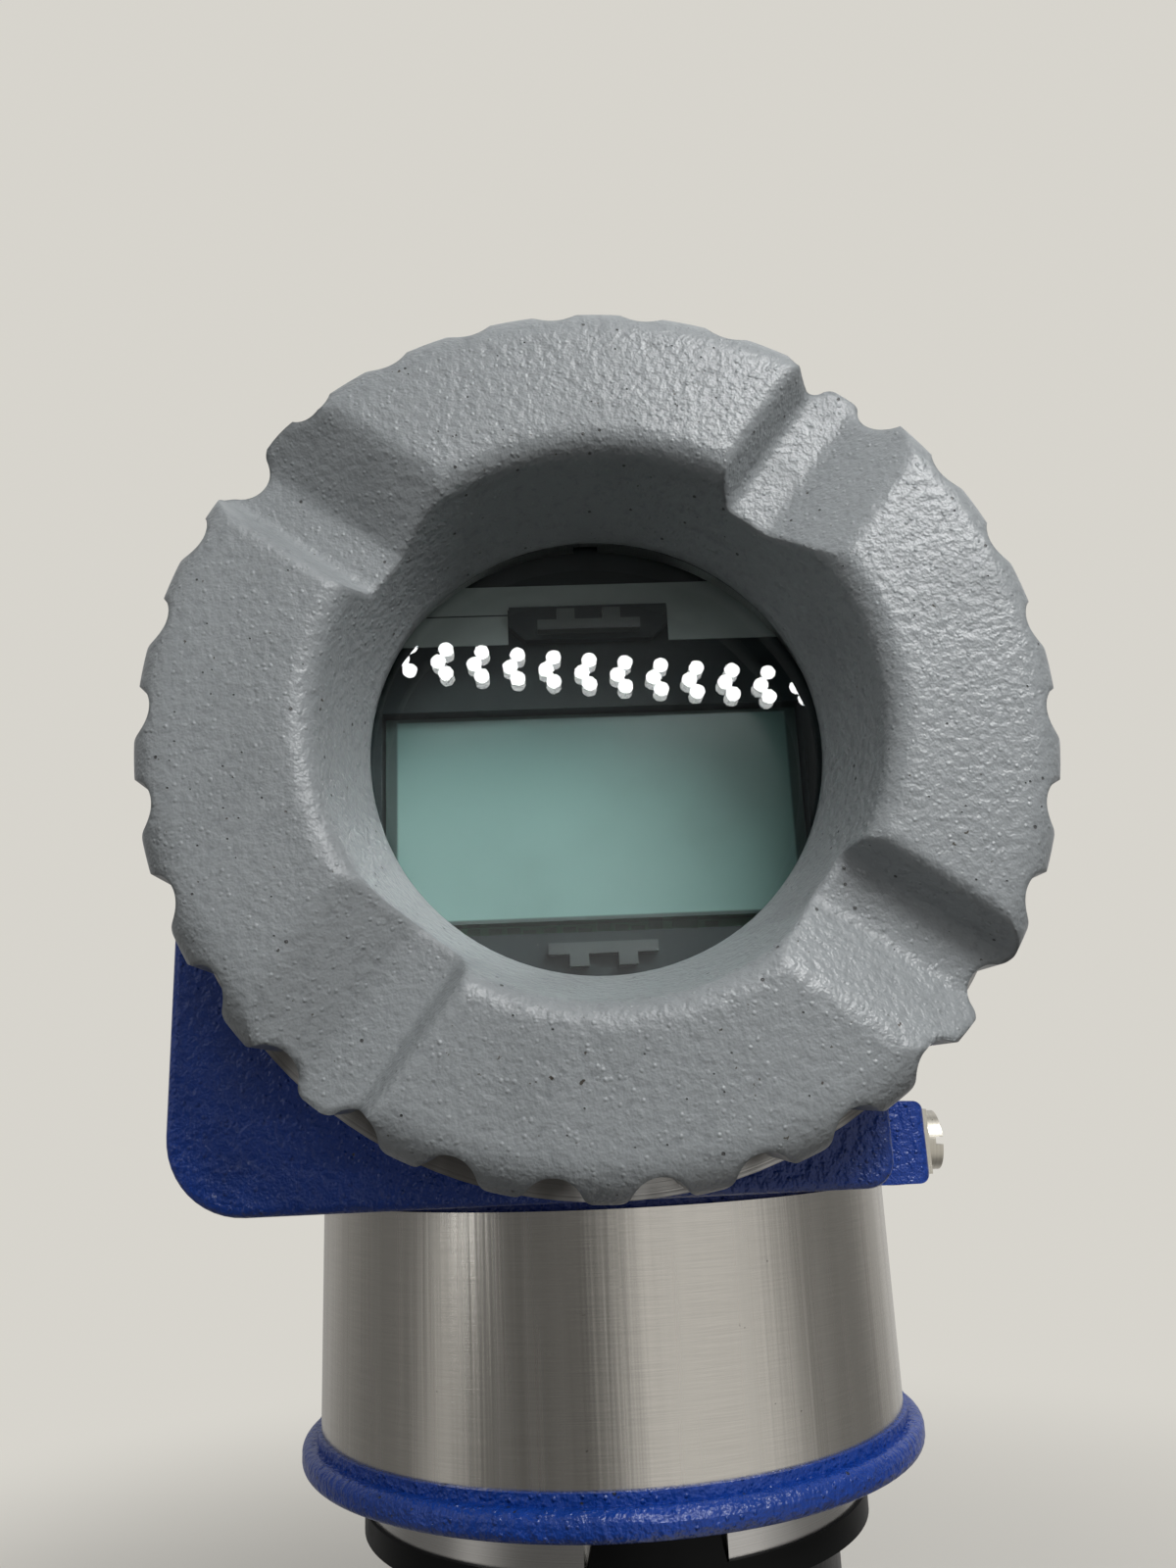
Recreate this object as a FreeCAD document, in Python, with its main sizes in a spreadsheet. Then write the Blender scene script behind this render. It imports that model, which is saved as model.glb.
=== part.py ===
import FreeCAD, Part
import math
import os

import Sketcher

# A direct-connected gauge pressure transmitter, upright, in millimetres.
# The origin is the centre of the process nipple's end face, +Z runs up the neck axis,
# and the front cover with its window faces -Y.

doc = FreeCAD.newDocument("gauge_pressure_transmitter")

# Driving dimensions, each with its own name and written once.
DIMENSIONS = {
    # where the housing's parts lie
    "centre_height": 135.5,
    "seat_reach": 43.5,
    "flange_bottom": 54.45,
    "flange_thickness": 3.15,
    "flange_radius": 40.0,
    "flange_round": 1.2,
    # housing casting
    "barrel_flange_radius": 48.3,
    "barrel_flange_width": 7.0,
    "barrel_flange_lip": 3.3,
    "conduit_stand": 2.0,
    "block_right": 29.5,
    "block_above_centre": 2.0,
    "block_setback": 0.4,
    "block_left_corner": 8.5,
    "block_right_corner": 3.0,
    "block_edge_round": 1.0,
    "neck_radius": 36.85,
    "neck_foot_radius": 38.2,
    "neck_foot_height": 1.2,
    "cover_bore_radius": 39.5,
    "cover_bore_depth": 13.5,
    "chamber_radius": 37.5,
    "partition_front": 7.5,
    "partition_thickness": 4.0,
    "feedthrough_radius": 14.0,
    "neck_bore_radius": 26.0,
    "neck_bore_depth": 26.0,
    "lead_passage_radius": 10.0,
    "lead_passage_setting": 4.0,
    "conduit_bore_radius": 9.6,
    "conduit_thread_length": 10.0,
    "conduit_throat_radius": 8.4,
    "conduit_drop": 18.0,
    "conduit_inset": 22.1,
    "conduit_boss_radius": 16.0,
    "lug_stand": 7.65,
    "lug_rise": 8.1,
    "lug_height": 10.8,
    "lug_front": 6.0,
    "lug_width": 14.0,
    "lug_round": 1.8,
    # covers, measured from the housing's seat outwards
    "cover_radius": 47.5,
    "cover_crest": 17.0,
    "crest_round": 4.5,
    "crest_inner_radius": 29.5,
    "crest_inner_round": 3.0,
    "rim_gap": 2.4,
    "hub_radius": 43.3,
    "hub_gap": 0.3,
    "skirt_radius": 39.44,
    "skirt_length": 10.4,
    "window_radius": 25.4,
    "window_edge": 3.2,
    "lip_thickness": 1.5,
    "blank_thickness": 4.0,
    "glass_bore_radius": 32.2,
    "ring_bore_radius": 34.0,
    "ring_bore_depth": 7.0,
    "scallop_count": 30,
    "scallop_depth": 2.4,
    "scallop_radius": 3.0,
    "scallop_shoulder": 1.5,
    "scallop_angle": 4.5,
    "recess_count": 4,
    "recess_depth": 5.0,
    "recess_wall_top": 4.4,
    "recess_wall_foot": 2.2,
    "recess_floor_end": 3.0,
    "recess_ramp_end": 11.5,
    "recess_wall_round": 1.8,
    "recess_foot_round": 1.6,
    "recess_ramp_foot_round": 3.0,
    "recess_ramp_end_round": 5.0,
    "recess_flare": 1.0,
    "recess_lift": 0.03,
    "cover_angle": 36.5,
    # cover furniture
    "gasket_thickness": 0.8,
    "glass_clearance": 0.3,
    "retaining_ring_thickness": 3.0,
    "retaining_ring_hole": 28.5,
    "retaining_ring_slot": 3.0,
    "seal_wire_radius": 0.9,
    "seal_clearance": 0.3,
    "fit_clearance": 0.1,
    # display
    "display_radius": 32.6,
    "display_rim": 0.6,
    "display_setback": 10.5,
    "display_frame_depth": 5.4,
    "display_board_thickness": 1.6,
    "display_carrier_thickness": 3.6,
    "display_hub_radius": 12.0,
    "panel_width": 50.6,
    "panel_bottom": 17.5,
    "panel_height": 25.5,
    "panel_thickness": 3.4,
    "panel_clearance": 0.2,
    "panel_lower_gap": 1.7,
    "label_step_depth": 1.0,
    "label_step_bottom": 13.0,
    "label_bottom": 17.0,
    "label_height": 7.7,
    "label_thickness": 0.2,
    "grip_foot_width": 15.8,
    "grip_width": 19.6,
    "grip_shoulder": 1.9,
    "grip_height": 4.4,
    "grip_reach": 0.4,
    "upper_grip_start": 17.0,
    "lower_grip_start": 19.9,
    "clip_start": 0.7,
    "clip_width": 12.6,
    "clip_bar_height": 1.3,
    "clip_leg_width": 2.2,
    "clip_leg_spread": 2.8,
    "clip_height": 2.7,
    "clip_thickness": 1.6,
    "twist_clearance": 0.2,
    # electronics
    "module_radius": 36.2,
    "module_setback": 23.5,
    "module_socket_depth": 6.0,
    "module_screw_radius": 1.9,
    "module_screw_head_radius": 3.4,
    "module_screw_head": 2.0,
    "module_screw_spread": 29.0,
    "module_screw_grip": 3.0,
    "terminal_block_radius": 28.0,
    "terminal_block_depth": 10.0,
    "terminal_count": 4,
    "terminal_pitch": 10.5,
    "terminal_rib_width": 1.6,
    "terminal_rib_height": 4.0,
    "terminal_rib_length": 16.0,
    "terminal_plate_side": 7.4,
    "terminal_plate_thickness": 1.2,
    "terminal_screw_radius": 1.5,
    "terminal_screw_head_radius": 3.0,
    "terminal_screw_head": 2.2,
    "terminal_screw_length": 6.0,
    "block_screw_spread": 22.0,
    "block_screw_radius": 1.5,
    "block_screw_head_radius": 2.8,
    "block_screw_head": 2.0,
    "block_screw_grip": 2.5,
    "earth_screw_spread": 32.7,
    "earth_screw_radius": 2.0,
    "earth_screw_head_radius": 3.8,
    "earth_screw_head": 2.4,
    "earth_screw_grip": 2.5,
    # outside fasteners
    "ground_screw_drop": 5.5,
    "ground_screw_setback": 1.0,
    "ground_screw_radius": 2.4,
    "ground_screw_head_radius": 4.0,
    "ground_screw_head": 2.0,
    "ground_screw_length": 9.0,
    "ground_clamp_side": 8.6,
    "ground_clamp_thickness": 0.9,
    "set_screw_inset": 3.5,
    "set_screw_radius": 1.6,
    "set_screw_length": 3.0,
    "set_screw_proud": 0.5,
    "plug_length": 9.5,
    "plug_head_width": 22.0,
    "plug_head": 3.0,
    "plug_socket_width": 10.0,
    "plug_socket_depth": 6.0,
    # data plate
    "plate_thickness": 0.7,
    "plate_top_gap": 1.2,
    "plate_gap": 8.0,
    "plate_clearance": 0.15,
    "plate_screw_angle": 13.0,
    "plate_screw_radius": 1.1,
    "plate_screw_head_radius": 2.0,
    "plate_screw_head": 0.9,
    "plate_screw_length": 5.0,
    # sensor, below the housing
    "turn_clearance": 0.35,
    "neck_tube_length": 22.0,
    "neck_tube_hole": 21.5,
    "neck_tube_ledge_radius": 18.5,
    "neck_tube_ledge": 60.0,
    "collar_radius": 31.8,
    "collar_bottom": 49.4,
    "stop_ring_radius": 32.2,
    "stop_ring_bottom": 46.5,
    "stop_ring_hole": 26.1,
    "tab_foot_width": 15.0,
    "tab_top_width": 12.8,
    "tab_offset": 3.0,
    "tab_depth": 2.0,
    "tab_clearance": 0.25,
    "sensor_radius": 28.2,
    "sensor_bottom": 30.0,
    "sensor_chamfer": 3.5,
    "capsule_radius": 12.0,
    "capsule_height": 10.0,
    "capsule_clearance": 0.1,
    "diaphragm_thickness": 0.4,
    "diaphragm_rings": 3,
    "capsule_seal_thickness": 1.0,
    "spigot_radius": 13.0,
    "spigot_height": 3.6,
    "hexagon_width": 35.0,
    "nipple_radius": 10.6,
    "nipple_length": 18.0,
    "nipple_chamfer": 0.8,
    "port_radius": 5.9,
    "port_depth": 12.0,
    "pressure_bore_radius": 3.0,
    "sensor_board_thickness": 1.6,
    "connector_length": 12.0,
    "connector_width": 5.0,
    "connector_height": 6.0,
    "ribbon_width": 9.0,
    "ribbon_thickness": 1.2,
    "capsule_pin_radius": 0.6,
    "capsule_pin_spread": 5.0,
    "neck_seal_radius": 28.0,
    "neck_seal_wire": 0.9,
}


class Size:
    """A length that knows both its value and the sheet formula that gives it."""

    def __init__(self, value, formula):
        self.value = float(value)
        self.formula = formula

    def __float__(self):
        return self.value

    def __add__(self, other):
        other = size(other)
        return Size(self.value + other.value, f"({self.formula} + {other.formula})")

    def __sub__(self, other):
        other = size(other)
        return Size(self.value - other.value, f"({self.formula} - {other.formula})")

    def __mul__(self, other):
        other = size(other)
        return Size(self.value * other.value, f"({self.formula} * {other.formula})")

    def __truediv__(self, other):
        other = size(other)
        return Size(self.value / other.value, f"({self.formula} / {other.formula})")

    def __neg__(self):
        return Size(-self.value, f"(0 - {self.formula})")


def size(value):
    """The value as a Size, where a plain number stands for itself."""
    return value if isinstance(value, Size) else Size(value, repr(float(value)))


class Dimensions:
    """The spreadsheet with every driving dimension, read back as attributes."""

    def __init__(self, dimensions):
        self.sheet = doc.addObject("Spreadsheet::Sheet", "sizes")
        for row, (name, value) in enumerate(dimensions.items(), start=1):
            self.sheet.set(f"A{row}", name)
            self.sheet.set(f"B{row}", str(value))
            self.sheet.setAlias(f"B{row}", name)
        doc.recompute()
        for name in dimensions:
            setattr(self, name, Size(self.sheet.get(name), f"sizes.{name}"))


dim = Dimensions(DIMENSIONS)
ZERO = size(0)
OVERCUT = size(1)

# Places that several pieces share.
centre = dim.centre_height
barrel_radius = dim.barrel_flange_radius - dim.barrel_flange_lip
conduit_reach = barrel_radius + dim.conduit_stand
lug_reach = dim.neck_radius + dim.lug_stand
lug_top = centre - dim.barrel_flange_radius + dim.lug_rise
lug_bottom = lug_top - dim.lug_height
ground_screw_height = lug_top - dim.ground_screw_drop
plate_top = centre - dim.barrel_flange_radius - dim.plate_top_gap
flange_top = dim.flange_bottom + dim.flange_thickness
partition_back = dim.partition_front + dim.partition_thickness
conduit_height = centre - dim.conduit_drop
conduit_setback = dim.seat_reach - dim.conduit_inset
display_face = dim.seat_reach - dim.display_setback
module_face = dim.seat_reach - dim.module_setback
collar_top = dim.flange_bottom - dim.turn_clearance
spigot_top = dim.sensor_bottom + dim.spigot_height
diaphragm_bottom = spigot_top + dim.capsule_seal_thickness
capsule_bottom = diaphragm_bottom + dim.diaphragm_thickness
sensor_board_top = dim.neck_tube_ledge + dim.sensor_board_thickness
connector_top = sensor_board_top + dim.connector_height
terminal_face = partition_back + dim.terminal_block_depth
module_bottom = centre - dim.module_radius


def bind(thing, field, value):
    """Sets one field of an object to a size and ties it to the sheet."""
    thing.setExpression(field, size(value).formula)


TURNS = {
    "x": FreeCAD.Rotation(FreeCAD.Vector(0, 1, 0), 90),
    "y": FreeCAD.Rotation(FreeCAD.Vector(1, 0, 0), -90),
    "-y": FreeCAD.Rotation(FreeCAD.Vector(1, 0, 0), 90),
    "z": FreeCAD.Rotation(),
}


def place(thing, x, y, z, rotation=FreeCAD.Rotation()):
    """Puts an object at a place given in sizes, turned by a fixed rotation."""
    base = FreeCAD.Vector(float(x), float(y), float(z))
    thing.Placement = FreeCAD.Placement(base, rotation)
    for field, value in zip("xyz", (x, y, z)):
        if isinstance(value, Size):
            bind(thing, f".Placement.Base.{field}", value)
    return thing


def cylinder(name, radius, length, x=ZERO, y=ZERO, z=ZERO, along="z"):
    """A cylinder that starts at x, y, z and runs along one axis."""
    made = doc.addObject("Part::Cylinder", name)
    bind(made, "Radius", radius)
    bind(made, "Height", length)
    return place(made, x, y, z, TURNS[along])


def box(name, length, width, height, x, y, z):
    """A box from its lowest corner, with its sizes along X, Y and Z."""
    made = doc.addObject("Part::Box", name)
    bind(made, "Length", length)
    bind(made, "Width", width)
    bind(made, "Height", height)
    return place(made, x, y, z)


def centred_box(name, length, width, height, x, y, z):
    """A box centred on x and z that runs from y along +Y."""
    return box(name, length, width, height, x - length / 2, y, z - height / 2)


def prism(name, width, height, x=ZERO, y=ZERO, z=ZERO, along="z"):
    """A hexagonal prism, as wide across its flats as given."""
    made = doc.addObject("Part::Prism", name)
    made.Polygon = 6
    bind(made, "Circumradius", width / size(math.sqrt(3)))
    bind(made, "Height", height)
    return place(made, x, y, z, TURNS[along])


def torus(name, radius, wire, x=ZERO, y=ZERO, z=ZERO, along="z"):
    """A ring of round section."""
    made = doc.addObject("Part::Torus", name)
    bind(made, "Radius1", radius)
    bind(made, "Radius2", wire)
    return place(made, x, y, z, TURNS[along])


def fuse(name, *pieces):
    """Pieces that are cast, moulded or turned as one."""
    made = doc.addObject("Part::MultiFuse", name)
    made.Shapes = list(pieces)
    made.Refine = True
    return made


def cut(name, base, *tools):
    """A piece with material taken away."""
    made = doc.addObject("Part::Cut", name)
    made.Base = base
    made.Tool = tools[0] if len(tools) == 1 else fuse(f"{name}_tools", *tools)
    made.Refine = True
    return made


def group(name, pieces):
    """Identical pieces that share one node as separate solids."""
    made = doc.addObject("Part::Compound", name)
    made.Links = list(pieces)
    return made


def origin_plane(body, role):
    """One of a body's own origin planes or axes."""
    return next(f for f in body.Origin.OriginFeatures if f.Role == role)


def new_sketch(body, name, role, offset=FreeCAD.Placement()):
    """An empty sketch on one of a body's origin planes."""
    made = body.newObject("Sketcher::SketchObject", name)
    made.AttachmentSupport = [(origin_plane(body, role), "")]
    made.MapMode = "FlatFace"
    made.AttachmentOffset = offset
    return made


def pin_point(sketch, line, across, up):
    """Holds the start of a line at a place given in sizes."""
    for kind, zero_kind, value in (
        ("DistanceX", "Vertical", across),
        ("DistanceY", "Horizontal", up),
    ):
        if abs(float(value)) < 1e-9:
            sketch.addConstraint(Sketcher.Constraint(zero_kind, -1, 1, line, 1))
            continue
        index = sketch.addConstraint(
            Sketcher.Constraint(kind, -1, 1, line, 1, float(value))
        )
        bind(sketch, f"Constraints[{index}]", value)


def polygon(sketch, points):
    """A closed outline through points given in sizes, each held by its own dimensions."""
    corners = [FreeCAD.Vector(float(a), float(b), 0) for a, b in points]
    count = len(corners)
    for i in range(count):
        sketch.addGeometry(Part.LineSegment(corners[i], corners[(i + 1) % count]))
    for i in range(count):
        joined = Sketcher.Constraint("Coincident", i, 2, (i + 1) % count, 1)
        sketch.addConstraint(joined)
    for i, (across, up) in enumerate(points):
        pin_point(sketch, i, across, up)


def toward(start, end, distance):
    """The point at a distance from start on the way to end."""
    way = end - start
    return start + way * (distance / way.Length)


def rounded_polygon(sketch, corners):
    """A closed outline whose corners, as across, up and radius, are rounded in turn."""
    spots = [FreeCAD.Vector(float(a), float(b), 0) for a, b, radius in corners]
    count = len(corners)
    starts = []
    ends = []
    arcs = {}
    for i, (across, up, radius) in enumerate(corners):
        before, here, after = spots[i - 1], spots[i], spots[(i + 1) % count]
        if radius is None:
            starts.append(here)
            ends.append(here)
            continue
        half = (before - here).getAngle(after - here) / 2
        back = float(radius) / math.tan(half)
        enters = toward(here, before, back)
        leaves = toward(here, after, back)
        middle_way = toward(here, (enters + leaves) / 2, float(radius) / math.sin(half))
        crown = toward(middle_way, here, float(radius))
        turns_left = (here - before).cross(after - here).z > 0
        if turns_left:
            arcs[i] = (Part.Arc(enters, crown, leaves), 1, 2)
        else:
            arcs[i] = (Part.Arc(leaves, crown, enters), 2, 1)
        ends.append(enters)
        starts.append(leaves)
    lines = [
        sketch.addGeometry(Part.LineSegment(starts[i], ends[(i + 1) % count]))
        for i in range(count)
    ]
    for i, (across, up, radius) in enumerate(corners):
        before, after = lines[i - 1], lines[i]
        if i not in arcs:
            joined = Sketcher.Constraint("Coincident", before, 2, after, 1)
            sketch.addConstraint(joined)
            pin_point(sketch, after, across, up)
            continue
        curve, enter, leave = arcs[i]
        arc = sketch.addGeometry(curve)
        sketch.addConstraint(Sketcher.Constraint("Tangent", before, 2, arc, enter))
        sketch.addConstraint(Sketcher.Constraint("Tangent", arc, leave, after, 1))
        held = Sketcher.Constraint("Radius", arc, float(radius))
        bind(sketch, f"Constraints[{sketch.addConstraint(held)}]", radius)
        corner = sketch.addGeometry(Part.Point(spots[i]), True)
        for line in (before, after):
            lies_on = Sketcher.Constraint("PointOnObject", corner, 1, line)
            sketch.addConstraint(lies_on)
        pin_point(sketch, corner, across, up)


def turned_body(name, points, along):
    """A turned piece from its half section, as pairs of radius and place along the axis."""
    body = doc.addObject("PartDesign::Body", name)
    role = "XY_Plane" if along == "y" else "XZ_Plane"
    sketch = new_sketch(body, f"{name}_section", role)
    polygon(sketch, points)
    turned = body.newObject("PartDesign::Revolution", f"{name}_turned")
    turned.Profile = sketch
    turned.ReferenceAxis = (sketch, ["V_Axis"])
    turned.Angle = 360
    body.Tip = turned
    doc.recompute()
    return body


def round_edges(body, name, radius, edges):
    """Rounds the named edges of a body's last feature."""
    last = body.Tip
    made = body.newObject("PartDesign::Fillet", name)
    made.Base = (last, edges)
    bind(made, "Radius", radius)
    body.Tip = made
    doc.recompute()


def circular_edges(shape, radius, place_along, axis="y"):
    """Names of the full circles about an axis with this radius and place."""
    found = []
    for index, edge in enumerate(shape.Edges, start=1):
        circle = edge.Curve
        if not isinstance(circle, Part.Circle):
            continue
        near = abs(getattr(circle.Center, axis) - float(place_along)) < 1e-4
        if near and abs(circle.Radius - float(radius)) < 1e-4:
            found.append(f"Edge{index}")
    return found


def repeat_round(body, name, feature, count):
    """Repeats a feature evenly round the body's Y axis."""
    made = body.newObject("PartDesign::PolarPattern", name)
    made.Originals = [feature]
    made.Axis = (origin_plane(body, "Y_Axis"), [""])
    made.Angle = 360
    bind(made, "Occurrences", count)
    body.Tip = made
    doc.recompute()


def scallops(body, name):
    """Cuts the rounded finger notches round a cover's rim."""
    rim = float(dim.cover_radius)
    notch = float(dim.scallop_radius)
    shoulder = float(dim.scallop_shoulder)
    reach = dim.cover_radius - dim.scallop_depth + dim.scallop_radius
    inner = rim - shoulder
    level = float(reach)
    # the shoulder's centre lies where its circle touches both the rim and the notch
    cosine = (level**2 + inner**2 - (notch + shoulder) ** 2) / (2 * level * inner)
    turn = math.acos(cosine)
    middle = FreeCAD.Vector(level, 0, 0)
    out = rim + 2 * notch
    sketch = new_sketch(
        body,
        f"{name}_scallop",
        "XZ_Plane",
        FreeCAD.Placement(
            FreeCAD.Vector(),
            FreeCAD.Rotation(FreeCAD.Vector(0, 0, 1), 90 + float(dim.scallop_angle)),
        ),
    )
    rim_points = []
    meets = []
    centres = []
    for side in (1, -1):
        spot = FreeCAD.Vector(inner * math.cos(turn), side * inner * math.sin(turn), 0)
        centres.append(spot)
        rim_points.append(spot * (rim / inner))
        meets.append(spot + (middle - spot) * (shoulder / (shoulder + notch)))

    def arc(centre_point, radius, start, end):
        """An arc from start to end, counter-clockwise about its centre."""
        first = start - centre_point
        last = end - centre_point
        circle = Part.Circle(centre_point, FreeCAD.Vector(0, 0, 1), radius)
        begin = math.atan2(first.y, first.x)
        finish = math.atan2(last.y, last.x)
        if finish < begin:
            finish += 2 * math.pi
        return Part.ArcOfCircle(circle, begin, finish)

    upper = sketch.addGeometry(arc(centres[0], shoulder, meets[0], rim_points[0]))
    notch_arc = sketch.addGeometry(arc(middle, notch, meets[0], meets[1]))
    lower = sketch.addGeometry(arc(centres[1], shoulder, rim_points[1], meets[1]))
    corners = [
        rim_points[0],
        rim_points[0] * (out / rim),
        rim_points[1] * (out / rim),
        rim_points[1],
    ]
    lines = [
        sketch.addGeometry(Part.LineSegment(corners[i], corners[i + 1]))
        for i in range(3)
    ]
    for first, end, second, start in (
        (upper, 2, lines[0], 1),
        (lines[0], 2, lines[1], 1),
        (lines[1], 2, lines[2], 1),
        (lines[2], 2, lower, 1),
    ):
        sketch.addConstraint(
            Sketcher.Constraint("Coincident", first, end, second, start)
        )
    sketch.addConstraint(Sketcher.Constraint("Tangent", upper, 1, notch_arc, 1))
    sketch.addConstraint(Sketcher.Constraint("Tangent", lower, 2, notch_arc, 2))
    sketch.addConstraint(Sketcher.Constraint("PointOnObject", notch_arc, 3, -1))
    for item, value in (
        (notch_arc, dim.scallop_radius),
        (upper, dim.scallop_shoulder),
        (lower, dim.scallop_shoulder),
    ):
        held = Sketcher.Constraint("Radius", item, float(value))
        index = sketch.addConstraint(held)
        bind(sketch, f"Constraints[{index}]", value)
    held = Sketcher.Constraint("DistanceX", -1, 1, notch_arc, 3, level)
    bind(sketch, f"Constraints[{sketch.addConstraint(held)}]", reach)
    pocket = body.newObject("PartDesign::Pocket", f"{name}_scallop_cut")
    pocket.Profile = sketch
    pocket.Type = "ThroughAll"
    pocket.Midplane = True
    body.Tip = pocket
    doc.recompute()
    repeat_round(body, f"{name}_scallops", pocket, dim.scallop_count)


def wrench_recesses(body, name):
    """Cuts the four recesses: a steep wall, a narrow floor and a long ramp back up."""
    crest = -dim.cover_crest - dim.recess_lift
    floor = dim.recess_depth - dim.cover_crest
    wall_end = -dim.recess_wall_top - dim.recess_wall_round - dim.recess_flare
    ramp_end = dim.recess_ramp_end + dim.recess_ramp_end_round + dim.recess_flare
    sketch = new_sketch(body, f"{name}_recess", "XY_Plane")
    rounded_polygon(
        sketch,
        [
            (wall_end, crest - OVERCUT, None),
            (wall_end, crest, None),
            (-dim.recess_wall_top, crest, dim.recess_wall_round),
            (-dim.recess_wall_foot, floor, dim.recess_foot_round),
            (dim.recess_floor_end, floor, dim.recess_ramp_foot_round),
            (dim.recess_ramp_end, crest, dim.recess_ramp_end_round),
            (ramp_end, crest, None),
            (ramp_end, crest - OVERCUT, None),
        ],
    )
    pocket = body.newObject("PartDesign::Pocket", f"{name}_recess_cut")
    pocket.Profile = sketch
    pocket.Reversed = True
    bind(pocket, "Length", dim.cover_radius + OVERCUT)
    body.Tip = pocket
    doc.recompute()
    repeat_round(body, f"{name}_recesses", pocket, dim.recess_count)


def cover(name, section, facing):
    """A cast cover from its half section, with its lobes, recesses and scallops."""
    body = turned_body(name, section, "y")
    crest = -dim.cover_crest
    outer = circular_edges(body.Shape, dim.cover_radius, crest)
    round_edges(body, f"{name}_crest_round", dim.crest_round, outer)
    inner = circular_edges(body.Shape, dim.crest_inner_radius, crest)
    round_edges(body, f"{name}_inner_round", dim.crest_inner_round, inner)
    scallops(body, name)
    wrench_recesses(body, name)
    about = FreeCAD.Vector(0, 1, 0)
    turned = FreeCAD.Rotation(about, float(dim.cover_angle))
    if facing == "back":
        turned = FreeCAD.Rotation(FreeCAD.Vector(0, 0, 1), 180).multiply(turned)
    reach = -dim.seat_reach if facing == "front" else dim.seat_reach
    return place(body, 0, reach, centre, turned)


def cover_rim_section():
    """The section that both covers share, from the crest's inner edge to the hub."""
    crest = -dim.cover_crest
    rim_back = -dim.rim_gap
    hub_back = -dim.hub_gap
    return [
        (dim.crest_inner_radius, crest),
        (dim.cover_radius, crest),
        (dim.cover_radius, rim_back),
        (dim.hub_radius, rim_back),
        (dim.hub_radius, hub_back),
        (dim.skirt_radius, hub_back),
        (dim.skirt_radius, dim.skirt_length),
        (dim.ring_bore_radius, dim.skirt_length),
    ]


def front_cover():
    """The cover with the window: a dished bevel leads down to the thin lip."""
    lip_back = dim.lip_thickness - dim.window_edge
    section = [
        (dim.window_radius, -dim.window_edge),
        *cover_rim_section(),
        (dim.ring_bore_radius, dim.ring_bore_depth),
        (dim.glass_bore_radius, dim.ring_bore_depth),
        (dim.glass_bore_radius, lip_back),
        (dim.window_radius, lip_back),
    ]
    return cover("front_cover", section, "front")


def rear_cover():
    """The blank cover over the field terminals."""
    dish_back = dim.blank_thickness - dim.window_edge
    section = [
        (ZERO, -dim.window_edge),
        (dim.window_radius, -dim.window_edge),
        *cover_rim_section(),
        (dim.ring_bore_radius, dish_back),
        (ZERO, dish_back),
    ]
    return cover("rear_cover", section, "back")


def ring(name, outer, inner, start, end, along="y", z=centre):
    """A flat ring between two places along its axis."""
    body = turned_body(
        name, [(inner, start), (outer, start), (outer, end), (inner, end)], along
    )
    return place(body, 0, 0, z)


def window_pieces():
    """The glass, its gasket against the lip and the ring that holds both from behind."""
    glass_radius = dim.glass_bore_radius - dim.glass_clearance
    lip_back = dim.lip_thickness - dim.window_edge - dim.seat_reach
    glass_front = lip_back + dim.gasket_thickness
    glass_back = dim.ring_bore_depth - dim.seat_reach
    ring_back = glass_back + dim.retaining_ring_thickness
    gasket_hole = dim.window_radius + dim.glass_clearance
    ring("window_gasket", glass_radius, gasket_hole, lip_back, glass_front)
    thickness = glass_back - glass_front
    cylinder(
        "front_cover_window", glass_radius, thickness, 0, glass_front, centre, "y"
    )
    blank = ring(
        "retaining_ring_blank",
        dim.ring_bore_radius - dim.fit_clearance,
        dim.retaining_ring_hole,
        glass_back,
        ring_back,
    )
    slot_floor = glass_back + dim.retaining_ring_thickness / 2
    across = dim.ring_bore_radius * 2
    slots = [
        centred_box(
            "ring_slot_across",
            across,
            dim.retaining_ring_thickness,
            dim.retaining_ring_slot,
            ZERO,
            slot_floor,
            centre,
        ),
        centred_box(
            "ring_slot_upright",
            dim.retaining_ring_slot,
            dim.retaining_ring_thickness,
            across,
            ZERO,
            slot_floor,
            centre,
        ),
    ]
    cut("window_retaining_ring", blank, *slots)


def cover_seal(name, side):
    """The O-ring in the gap between a cover's rim and the housing's seat."""
    radius = dim.hub_radius + dim.seal_clearance + dim.seal_wire_radius
    middle = dim.seat_reach + dim.rim_gap / 2
    torus(name, radius, dim.seal_wire_radius, 0, middle * side, centre, "y")


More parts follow.
